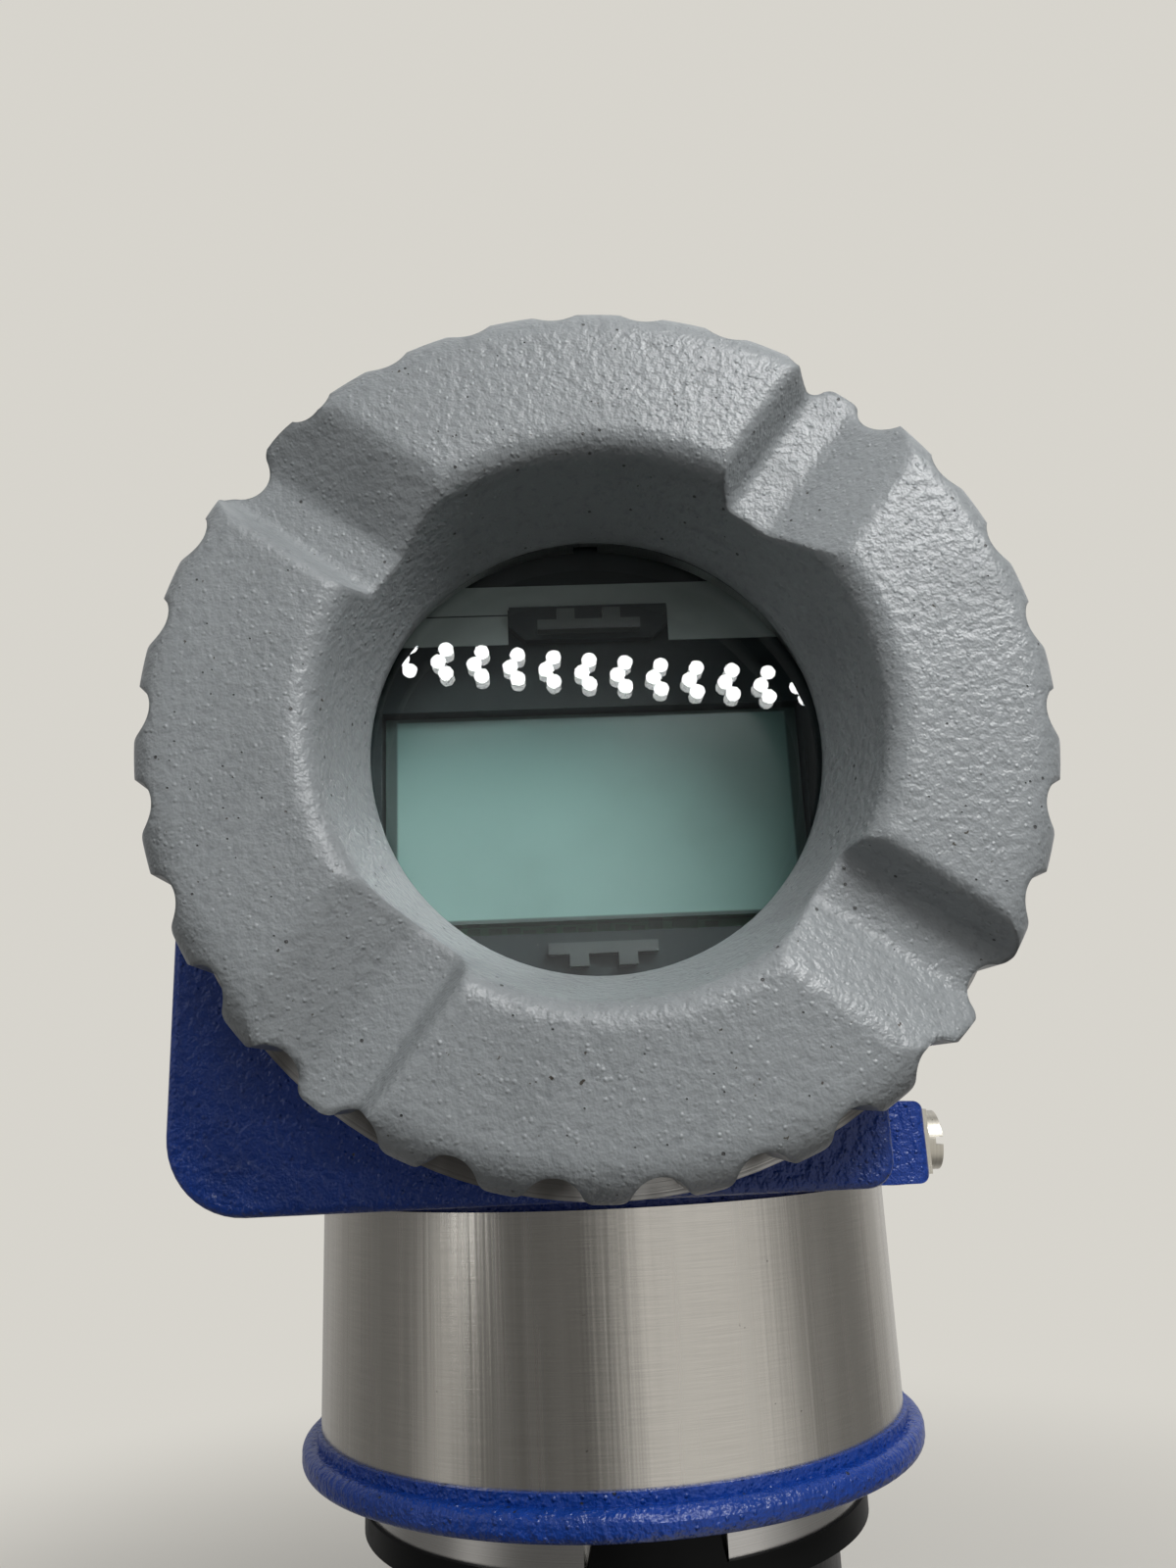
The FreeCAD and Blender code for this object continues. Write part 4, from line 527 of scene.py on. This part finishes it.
steel = turned_metal("turned_stainless", (0.5, 0.49, 0.47), (0.62, 0.61, 0.59), 0.24)
zinc = turned_metal("plated_screw", (0.5, 0.47, 0.4), (0.66, 0.63, 0.55), 0.34, "x", 0.4)
aluminium = turned_metal("raw_aluminium", (0.5, 0.5, 0.5), (0.66, 0.66, 0.66), 0.36, "x")
brown = turned_metal("aged_set_screw", (0.25, 0.12, 0.06), (0.42, 0.22, 0.12), 0.45, "x", 0.5)
dress(steel, "sensor_neck", "sensor_capsule", "isolating_diaphragm")
dress(
    zinc,
    "ground_screw",
    "ground_clamp",
    "data_plate_screws",
    "module_screws",
    "terminal_screws",
    "terminal_clamps",
    "terminal_block_screws",
    "internal_ground_screw",
    "capsule_pins",
)
dress(aluminium, "conduit_plug", "window_retaining_ring")
dress(brown, "lug_set_screw")

# %% [markdown]
# The process connector has a pipe thread outside its nipple and a smaller one inside its
# port. Ridges this large show in the outline, so relief in the material isn't enough, and a
# threaded copy of the CAD shape stands for it. A thread is one helix: each point of a round
# wall moves towards the metal by a depth that depends on its height and its turn.

# %% Cut a thread into a round wall
def cut_thread(build, radius, depth, start, end, pitch):
    """Moves a wall's points to make a right-hand thread. Depth is negative on a rod."""
    for vertex in build.verts:
        x, y, z = vertex.co
        reach = math.hypot(x, y)
        if abs(reach - radius) > 0.05 * MM or not start < z < end:
            continue
        rows = z / pitch - math.atan2(y, x) / (2 * math.pi)
        groove = abs(rows % 1.0 - 0.5) * 2
        run_out = min((z - start) / pitch, (end - z) / pitch, 1.0)
        moved = reach + depth * groove * run_out
        vertex.co.x, vertex.co.y = x * moved / reach, y * moved / reach


# %% [markdown]
# The CAD walls have points only at their two ends. So the copy is first sliced by level
# planes, eight to each pitch, which gives the helix enough points to follow.

# %% Slice the process connector and thread it
NIPPLE_RADIUS, NIPPLE_PITCH, NIPPLE_DEPTH = 10.6 * MM, 1.814 * MM, 1.2 * MM
PORT_RADIUS, PORT_PITCH, PORT_DEPTH = 5.9 * MM, 1.411 * MM, 0.9 * MM
SLICES = 79


def threaded_mesh():
    """A copy of the process connector's mesh with its nipple and its port threaded."""
    mesh = nodes["process_connector"].data.copy()
    mesh.name = "threaded_connector"
    build = bmesh.new()
    build.from_mesh(mesh)
    bmesh.ops.remove_doubles(build, verts=build.verts[:], dist=0.001 * MM)
    for i in range(1, SLICES + 1):
        level = (0, 0, i * NIPPLE_PITCH / 8)
        parts = build.verts[:] + build.edges[:] + build.faces[:]
        bmesh.ops.bisect_plane(build, geom=parts, plane_co=level, plane_no=(0, 0, 1))
    cut_thread(build, NIPPLE_RADIUS, -NIPPLE_DEPTH, 0.75 * MM, 17.3 * MM, NIPPLE_PITCH)
    cut_thread(build, PORT_RADIUS, PORT_DEPTH, 0.0, 11.9 * MM, PORT_PITCH)
    bmesh.ops.dissolve_degenerate(build, edges=build.edges[:], dist=0.005 * MM)
    bmesh.ops.recalc_face_normals(build, faces=build.faces[:])
    build.to_mesh(mesh)
    build.free()
    return mesh


# %% [markdown]
# The CAD mesh came with its own shading directions, which no longer fit, so they go. Then
# every edge sharper than 20 degrees stays crisp, and the rest is shaded smooth. The new
# piece rides on the sensor's body and takes the CAD node's place.

# %% Put the threaded connector in place
def threaded_connector():
    """The threaded piece, shaded, on the sensor's body."""
    mesh = threaded_mesh()
    mesh.materials.clear()
    mesh.materials.append(steel)
    cad_shading = mesh.attributes.get("custom_normal")
    if cad_shading:
        mesh.attributes.remove(cad_shading)
    mesh.shade_smooth()
    mesh.set_sharp_from_angle(angle=math.radians(20))
    piece = bpy.data.objects.new("threaded_connector", mesh)
    bpy.context.scene.collection.objects.link(piece)
    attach(piece, "sensor")
    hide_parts("process_connector")
    print(f"threaded connector: {len(mesh.polygons)} faces")


threaded_connector()

# %% [markdown]
# Moulded plastics and rubber are dark here. A moulding carries a fine spark-eroded grain,
# so its highlight is soft and broken. Rubber is nearly the same with more roughness. The
# sensor body's coat and the resin in the electronics module use the same recipe.

# %% Plastics and rubber
def moulded(name, colour, roughness, grain_size, grain_depth, shine=0.5):
    """A moulded plastic or rubber with its fine grain."""
    finish = Finish(name, Roughness=roughness, Specular_IOR_Level=shine)
    tree = finish.tree
    grain = use_group(tree, cast_grain, Place=finish.place, Size=grain_size)
    dirt = use_group(tree, specks, Place=finish.place, Size=0.3 * MM, Amount=0.15)
    darker = tuple(part * 0.8 for part in colour)
    body = blend_colour(tree, grain["Waves"], (*colour, 1), (*darker, 1))
    body = blend_colour(tree, dirt["Specks"], body, (0.12, 0.11, 0.1, 1))
    finish.link(body, "Base Color")
    finish.link(blend_value(tree, dirt["Stains"], roughness, roughness + 0.1), "Roughness")
    finish.link(finish.bump(grain["Height"], grain_depth), "Normal")
    return finish.material


black_plastic = moulded("black_plastic", (0.004, 0.0045, 0.0045), 0.45, 0.3 * MM, 0.01 * MM, 0.12)
frame_plastic = moulded("frame_plastic", (0.02, 0.029, 0.031), 0.45, 0.3 * MM, 0.01 * MM, 0.2)
clip_plastic = moulded("clip_plastic", (0.06, 0.07, 0.07), 0.4, 0.3 * MM, 0.01 * MM, 0.3)
rubber = moulded("seal_rubber", (0.012, 0.012, 0.012), 0.6, 0.25 * MM, 0.015 * MM)
black_coat = moulded("sensor_coat", (0.014, 0.013, 0.013), 0.4, 0.6 * MM, 0.05 * MM)
potting = moulded("potting_resin", (0.03, 0.03, 0.032), 0.35, 4.0 * MM, 0.1 * MM)
dress(black_plastic, "display_carrier", "terminal_block", "sensor_connector")
dress(black_plastic, "rotation_stop_ring")
dress(frame_plastic, "display_frame")
dress(clip_plastic, "display_clips")
dress(rubber, "front_cover_seal", "rear_cover_seal", "window_gasket", "neck_seal", "capsule_seal")
dress(black_coat, "sensor_body")
dress(potting, "electronics_module")

# %% [markdown]
# The display's panel is a liquid crystal cell, switched off: grey-green glass over a
# reflector with a faint cloudiness, darkened towards the top by painted shade, and with the
# dark seal of the cell as a thin line just inside its edge.

# %% Liquid crystal panel
def panel_finish():
    """Grey-green glass with painted shade towards the top and a thin darker border."""
    finish = Finish("liquid_crystal", Roughness=0.12, Coat_Weight=0.6, Coat_Roughness=0.03)
    tree = finish.tree
    painted_hollow_shade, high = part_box("display_panel")
    middle_x, middle_z = (painted_hollow_shade.x + high.x) / 2, (painted_hollow_shade.z + high.z) / 2
    out_x = calc(tree, "ABSOLUTE", calc(tree, "SUBTRACT", finish.x, middle_x))
    out_z = calc(tree, "ABSOLUTE", calc(tree, "SUBTRACT", finish.z, middle_z))
    edge_x = fade(tree, out_x, (high.x - painted_hollow_shade.x) / 2 - 1.6 * MM, (high.x - painted_hollow_shade.x) / 2 - 1.2 * MM)
    edge_z = fade(tree, out_z, (high.z - painted_hollow_shade.z) / 2 - 0.6 * MM, (high.z - painted_hollow_shade.z) / 2 - 0.3 * MM)
    edge = calc(tree, "MAXIMUM", edge_x, edge_z)
    clouds = use_group(tree, specks, Place=finish.place, Size=0.8 * MM, Amount=0.0)
    green = blend_colour(
        tree, clouds["Stains"], (0.175, 0.285, 0.272, 1), (0.155, 0.255, 0.243, 1)
    )
    # Painted shade: the panel grows darker towards its top.
    painted_shade_top = fade(tree, finish.z, middle_z - 2 * MM, high.z + 3 * MM)
    green = blend_colour(tree, painted_shade_top, green, (0.12, 0.2, 0.192, 1))
    finish.link(blend_colour(tree, edge, green, (0.05, 0.075, 0.072, 1)), "Base Color")
    finish.link(blend_value(tree, clouds["Stains"], 0.12, 0.2), "Roughness")
    return finish.material


dress(panel_finish(), "display_panel")

# %% [markdown]
# The strip above the panel is a dull pale film with one thin rule printed on it. Print has
# next to no thickness, so the rule is a dark line in the colour and no relief.

# %% Label film
def label_finish():
    """Dull pale film with one thin rule across its left half."""
    finish = Finish("label_film", Roughness=0.5)
    tree = finish.tree
    painted_hollow_shade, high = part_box("display_label")
    rule_height = (painted_hollow_shade.z + high.z) / 2
    off_rule = calc(tree, "ABSOLUTE", calc(tree, "SUBTRACT", finish.z, rule_height))
    rule = fade(tree, off_rule, 0.12 * MM, 0.06 * MM)
    left_half = fade(tree, finish.x, 1.5 * MM, 1.3 * MM)
    rule = calc(tree, "MULTIPLY", rule, left_half)
    dirt = use_group(tree, specks, Place=finish.place, Size=0.4 * MM, Amount=0.1)
    film = blend_colour(tree, dirt["Stains"], (0.36, 0.41, 0.4, 1), (0.31, 0.355, 0.345, 1))
    finish.link(blend_colour(tree, rule, film, (0.03, 0.035, 0.035, 1)), "Base Color")
    return finish.material


dress(label_finish(), "display_label")

# %% [markdown]
# A circuit board is green lacquer over copper, and the copper shows as paler runs that
# stand up a little. The borders between square Voronoi cells make straight runs like that.

# %% Circuit boards
def board_finish():
    """Green lacquer over a faint pattern of straight copper runs."""
    finish = Finish("circuit_board", Roughness=0.3)
    tree = finish.tree
    runs = add(
        tree,
        "ShaderNodeTexVoronoi",
        {"Vector": finish.place, "Scale": 1 / (2.2 * MM), "Randomness": 0.4},
        distance="CHEBYCHEV",
    ).outputs["Distance"]
    copper = fade(tree, runs, 0.34, 0.4)
    mask = blend_colour(tree, copper, (0.008, 0.07, 0.03, 1), (0.02, 0.14, 0.06, 1))
    finish.link(mask, "Base Color")
    finish.link(finish.bump(copper, 0.03 * MM), "Normal")
    return finish.material


dress(board_finish(), "display_board", "sensor_board")

# %% [markdown]
# A ribbon lead is a row of insulated wires joined side by side, with a groove between each
# pair. A wave that repeats at the width of a wire gives the groove its painted shade and its
# relief.

# %% Ribbon lead
WIRE_WIDTH = 1.27 * MM


def ribbon_finish():
    """Grey flat lead with painted shade in the groove between each pair of its wires."""
    finish = Finish("ribbon_lead", Roughness=0.5)
    tree = finish.tree
    wire = calc(tree, "PINGPONG", calc(tree, "DIVIDE", finish.x, WIRE_WIDTH), 0.5)
    # Painted shade: the grey darkens in the groove between each pair of wires.
    grey = blend_colour(
        tree, fade(tree, wire, 0.0, 0.12), (0.12, 0.12, 0.12, 1), (0.3, 0.3, 0.3, 1)
    )
    finish.link(grey, "Base Color")
    finish.link(finish.bump(fade(tree, wire, 0.0, 0.4), 0.2 * MM), "Normal")
    return finish.material


dress(ribbon_finish(), "sensor_cable")

# %% [markdown]
# The window is thick clear glass. Light rays that only test for shadow would be stopped by
# refracting glass and leave the display black, so for those rays alone it is transparent.

# %% Window glass
def window_glass():
    """Clear glass that lets lamp light through to the display."""
    finish = Finish(
        "window_glass",
        Base_Color=(0.97, 1.0, 0.99, 1),
        Roughness=0.0,
        IOR=1.5,
        Transmission_Weight=1.0,
    )
    tree = finish.tree
    shadow_ray = add(tree, "ShaderNodeLightPath").outputs["Is Shadow Ray"]
    clear = add(tree, "ShaderNodeBsdfTransparent", {"Color": (0.92, 0.96, 0.95, 1)})
    mixed = add(
        tree,
        "ShaderNodeMixShader",
        {0: shadow_ray, 1: finish.shader.outputs[0], 2: clear.outputs[0]},
    )
    output = tree.nodes["Material Output"]
    tree.links.new(mixed.outputs[0], output.inputs["Surface"])
    return finish.material


dress(window_glass(), "front_cover_window")

# %% [markdown]
# Polished metal shows the room, so the room needs some shape. Here it is a row of upright
# bands of light and dark that go round the part: a bright wall in front on the right, a
# dark gap beside it, and dimmer walls further round. Only mirror-like rays see these bands.
# Every other ray sees a plain ceiling that is brighter than the floor.

# %% Bands of light round the room
ROOM_BANDS = (
    (-180, 0.4), (-140, 0.4), (-122, 0.28), (-98, 0.16), (-76, 0.17), (-62, 0.5), (-52, 0.26),
    (-44, 0.12), (-10, 0.13), (2, 0.3), (10, 0.72), (52, 0.68), (66, 0.42), (76, 0.2),
    (108, 0.2), (122, 0.4), (146, 0.62), (180, 0.4),
)


def room_bands(tree, across, ahead):
    """Brightness of the room in a direction, from -180 to 180 degrees about straight ahead."""
    turn = calc(tree, "DEGREES", calc(tree, "ARCTAN2", across, ahead))
    level = 0.0
    for (start, first), (end, second) in zip(ROOM_BANDS, ROOM_BANDS[1:]):
        step = fade(tree, turn, float(start), float(end))
        level = calc(tree, "ADD", level, calc(tree, "MULTIPLY", step, second - first))
    return calc(tree, "ADD", level, ROOM_BANDS[0][1])


print(f"room: {len(ROOM_BANDS) - 1} bands of light round the part")

# %% [markdown]
# The floor is a wide pale disc. Near the part it is a real surface that takes shadows.
# Further out it fades into exactly the colour of the background, so no horizon shows. Rays
# that don't come from the camera see it dim, so that it throws little light up at the part.

# %% Floor and background
PALE = (0.68, 0.66, 0.61)
FLOOR_RADIUS, FLOOR_HEIGHT = 3.0, -0.2 * MM


def floor_disc():
    """A round floor under the part."""
    mesh = bpy.data.meshes.new("floor")
    build = bmesh.new()
    bmesh.ops.create_circle(build, cap_ends=True, radius=FLOOR_RADIUS, segments=96)
    build.to_mesh(mesh)
    build.free()
    floor = bpy.data.objects.new("floor", mesh)
    bpy.context.scene.collection.objects.link(floor)
    floor.location.z = FLOOR_HEIGHT
    return floor


def floor_finish():
    """Pale matt floor for the camera and a dim banded one for all other rays."""
    finish = Finish("pale_floor", Roughness=0.8)
    tree = finish.tree
    reach = finish.distance(finish.x, 0.0, finish.y, 0.0)
    far = fade(tree, reach, 0.1, 0.3)
    stains = use_group(tree, specks, Place=finish.place, Size=8 * MM, Amount=0.0)
    darker = tuple(part * 0.97 for part in PALE)
    finish.link(blend_colour(tree, stains["Stains"], (*PALE, 1), (*darker, 1)), "Base Color")
    even = add(tree, "ShaderNodeEmission", {"Color": (*PALE, 1), "Strength": 1.0})
    seen = add(
        tree, "ShaderNodeMixShader", {0: far, 1: finish.shader.outputs[0], 2: even.outputs[0]}
    )
    rays = add(tree, "ShaderNodeLightPath").outputs
    bands = room_bands(tree, finish.x, calc(tree, "MULTIPLY", finish.y, -1.0))
    level = blend_value(tree, rays["Is Glossy Ray"], 0.1, bands)
    unseen = add(tree, "ShaderNodeEmission", {"Color": (1.0, 0.98, 0.95, 1), "Strength": level})
    mixed = add(
        tree,
        "ShaderNodeMixShader",
        {0: rays["Is Camera Ray"], 1: unseen.outputs[0], 2: seen.outputs[0]},
    )
    tree.links.new(mixed.outputs[0], tree.nodes["Material Output"].inputs["Surface"])
    return finish.material


floor = floor_disc()
floor.data.materials.append(floor_finish())
print(f"floor: {2 * FLOOR_RADIUS:.0f} m across")

# %% [markdown]
# The world behind it all has three looks too: the pale background for the camera, the bands
# for mirror-like rays, and a ceiling that fades to a dim floor for the rest. The flat window
# mirrors only one small patch of the room, in front and a little up. There the bands give
# way to a dark patch that grows paler low down and on the left.

# %% World light
def window_patch(tree, split, bands):
    """The bands, apart from the patch of the room that the window mirrors."""
    painted_hollow_shade = blend_value(tree, fade(tree, split[2], 0.34, 0.14), 0.1, 0.5)
    patch = calc(tree, "MULTIPLY", painted_hollow_shade, fade(tree, split[0], 0.22, 0.05))
    front = fade(tree, split[1], -0.75, -0.85)
    ahead = calc(tree, "MULTIPLY", front, fade(tree, split[2], 0.0, 0.1))
    beside = fade(tree, calc(tree, "ABSOLUTE", split[0]), 0.28, 0.2)
    return blend_value(tree, calc(tree, "MULTIPLY", ahead, beside), bands, patch)


def light_world():
    """Soft light that grows with height, seen by the camera as one pale colour."""
    world = bpy.data.worlds.new("workshop")
    bpy.context.scene.world = world
    world.use_nodes = True
    tree = world.node_tree
    direction = add(tree, "ShaderNodeTexCoord").outputs["Generated"]
    split = add(tree, "ShaderNodeSeparateXYZ", {"Vector": direction}).outputs
    above = fade(tree, split[2], -0.1, 0.8)
    soft = blend_value(tree, above, 0.08, 0.62)
    bands = room_bands(tree, split[0], calc(tree, "MULTIPLY", split[1], -1.0))
    bands = calc(tree, "MULTIPLY", bands, blend_value(tree, above, 1.0, 1.4))
    bands = window_patch(tree, split, bands)
    rays = add(tree, "ShaderNodeLightPath").outputs
    level = blend_value(tree, rays["Is Glossy Ray"], soft, bands)
    grey = add(tree, "ShaderNodeCombineColor", {"Red": level, "Green": level, "Blue": level})
    seen = blend_colour(tree, rays["Is Camera Ray"], grey.outputs[0], (*PALE, 1))
    tree.links.new(seen, tree.nodes["Background"].inputs["Color"])
    print(f"{world.name}: {len(tree.nodes)} nodes")


light_world()

# %% [markdown]
# Two soft lamps finish the light: one close above and to the right gives the lobes of the
# cover their shape and falls off towards the bottom left, and a narrow one from the left
# draws a bright line down the neck.

# %% Lamps
def soft_lamp(name, place, aim, width, height, power):
    """A rectangular lamp at one place that faces another."""
    data = bpy.data.lights.new(name, "AREA")
    data.shape = "RECTANGLE"
    data.size, data.size_y = width, height
    data.energy = power
    lamp = bpy.data.objects.new(name, data)
    lamp.location = place
    lamp.rotation_euler = (Vector(aim) - Vector(place)).to_track_quat("-Z", "Y").to_euler()
    bpy.context.scene.collection.objects.link(lamp)
    print(f"{name}: {power} W, {width} by {height} m")


AIM = (0.0, 0.0, 0.12)
soft_lamp("ceiling_lamp", (0.16, -0.32, 0.37), AIM, 0.2, 0.08, 1.3)
soft_lamp("side_lamp", (-0.8, -0.55, 0.3), AIM, 0.12, 0.8, 0.7)

# %% [markdown]
# The camera stands close, below the covers' centre, and looks up. Its place and its three
# angles were worked out from how round edges and known right angles look in the photograph.
# The lens is wide, so the near rim looks larger than the neck.

# %% Camera
CAMERA_PLACE = (-5.94 * MM, -172.09 * MM, 98.12 * MM)
LOOK_UP, LOOK_RIGHT, LEAN = (math.radians(angle) for angle in (14.75, 2.12, 2.52))
FILM_HEIGHT, FOCAL_LENGTH = 36.0, 27.0


def photo_camera():
    """A wide upright camera at the photograph's place."""
    data = bpy.data.cameras.new("photo_camera")
    data.sensor_fit = "VERTICAL"
    data.sensor_height = FILM_HEIGHT
    data.lens = FOCAL_LENGTH
    data.clip_start = 0.005
    camera = bpy.data.objects.new("photo_camera", data)
    turned = (
        Matrix.Rotation(-LOOK_RIGHT, 4, "Z")
        @ Matrix.Rotation(math.pi / 2 + LOOK_UP, 4, "X")
        @ Matrix.Rotation(-LEAN, 4, "Z")
    )
    camera.matrix_world = Matrix.Translation(CAMERA_PLACE) @ turned
    bpy.context.scene.collection.objects.link(camera)
    bpy.context.scene.camera = camera


photo_camera()
bpy.context.scene.view_settings.view_transform = "Standard"
print(f"camera: {FOCAL_LENGTH:.0f} mm lens on a frame {FILM_HEIGHT:.0f} mm tall")

# %% [markdown]
# A strip of small bright lights hangs in front of the part, behind the camera. It is there
# for its mirror image: a row of clusters of three dots across the window glass. A flat glass
# mirrors as if the camera stood behind it, as deep as the real one stands in front. So each
# light lies on the line from that mirrored camera through the spot where it should show.

# %% Place the strip of lights
WINDOW_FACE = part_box("front_cover_window")[0].y
CLUSTERS = 12
FIRST_SIDEWAYS, STEP_SIDEWAYS = -21.5 * MM, 4.12 * MM
FIRST_HEIGHT, STEP_DOWN = CENTRE + 11.9 * MM, 0.45 * MM
DOTS = ((0.45 * MM, 1.45 * MM), (-0.45 * MM, 0.0), (0.4 * MM, -1.45 * MM))
LIGHT_RADIUS, FURTHER_OUT = 4.4 * MM, 4.0


def strip_mesh():
    """Clusters of three discs, placed where the window mirrors them to the camera."""
    mesh = bpy.data.meshes.new("light_strip")
    build = bmesh.new()
    mirrored = Vector((CAMERA_PLACE[0], 2 * WINDOW_FACE - CAMERA_PLACE[1], CAMERA_PLACE[2]))
    for i in range(CLUSTERS):
        sideways = FIRST_SIDEWAYS + STEP_SIDEWAYS * i
        height = FIRST_HEIGHT - STEP_DOWN * i
        for across, up in DOTS:
            spot = Vector((sideways + across, WINDOW_FACE, height + up))
            place = spot + (spot - mirrored) * FURTHER_OUT
            turned = Matrix.Translation(place) @ Matrix.Rotation(math.pi / 2, 4, "X")
            bmesh.ops.create_circle(
                build, cap_ends=True, radius=LIGHT_RADIUS, segments=16, matrix=turned
            )
    build.to_mesh(mesh)
    build.free()
    return mesh


# %% [markdown]
# The lights glow for every ray but the camera's own, so they show in the glass and not by
# themselves when the camera looks from another side.

# %% Light the strip
def strip_glow():
    """Bright for all rays but those that come straight from the camera."""
    glow = bpy.data.materials.new("light_strip_glow")
    glow.use_nodes = True
    tree = glow.node_tree
    emission = add(tree, "ShaderNodeEmission", {"Color": (1, 1, 1, 1), "Strength": 28.0})
    seen = add(tree, "ShaderNodeLightPath").outputs["Is Camera Ray"]
    clear = add(tree, "ShaderNodeBsdfTransparent").outputs[0]
    mixed = add(tree, "ShaderNodeMixShader", {0: seen, 1: emission.outputs[0], 2: clear})
    tree.links.new(mixed.outputs[0], tree.nodes["Material Output"].inputs["Surface"])
    return glow


strip = bpy.data.objects.new("light_strip", strip_mesh())
bpy.context.scene.collection.objects.link(strip)
strip.data.materials.append(strip_glow())
print(f"light strip: {len(strip.data.polygons)} lights")
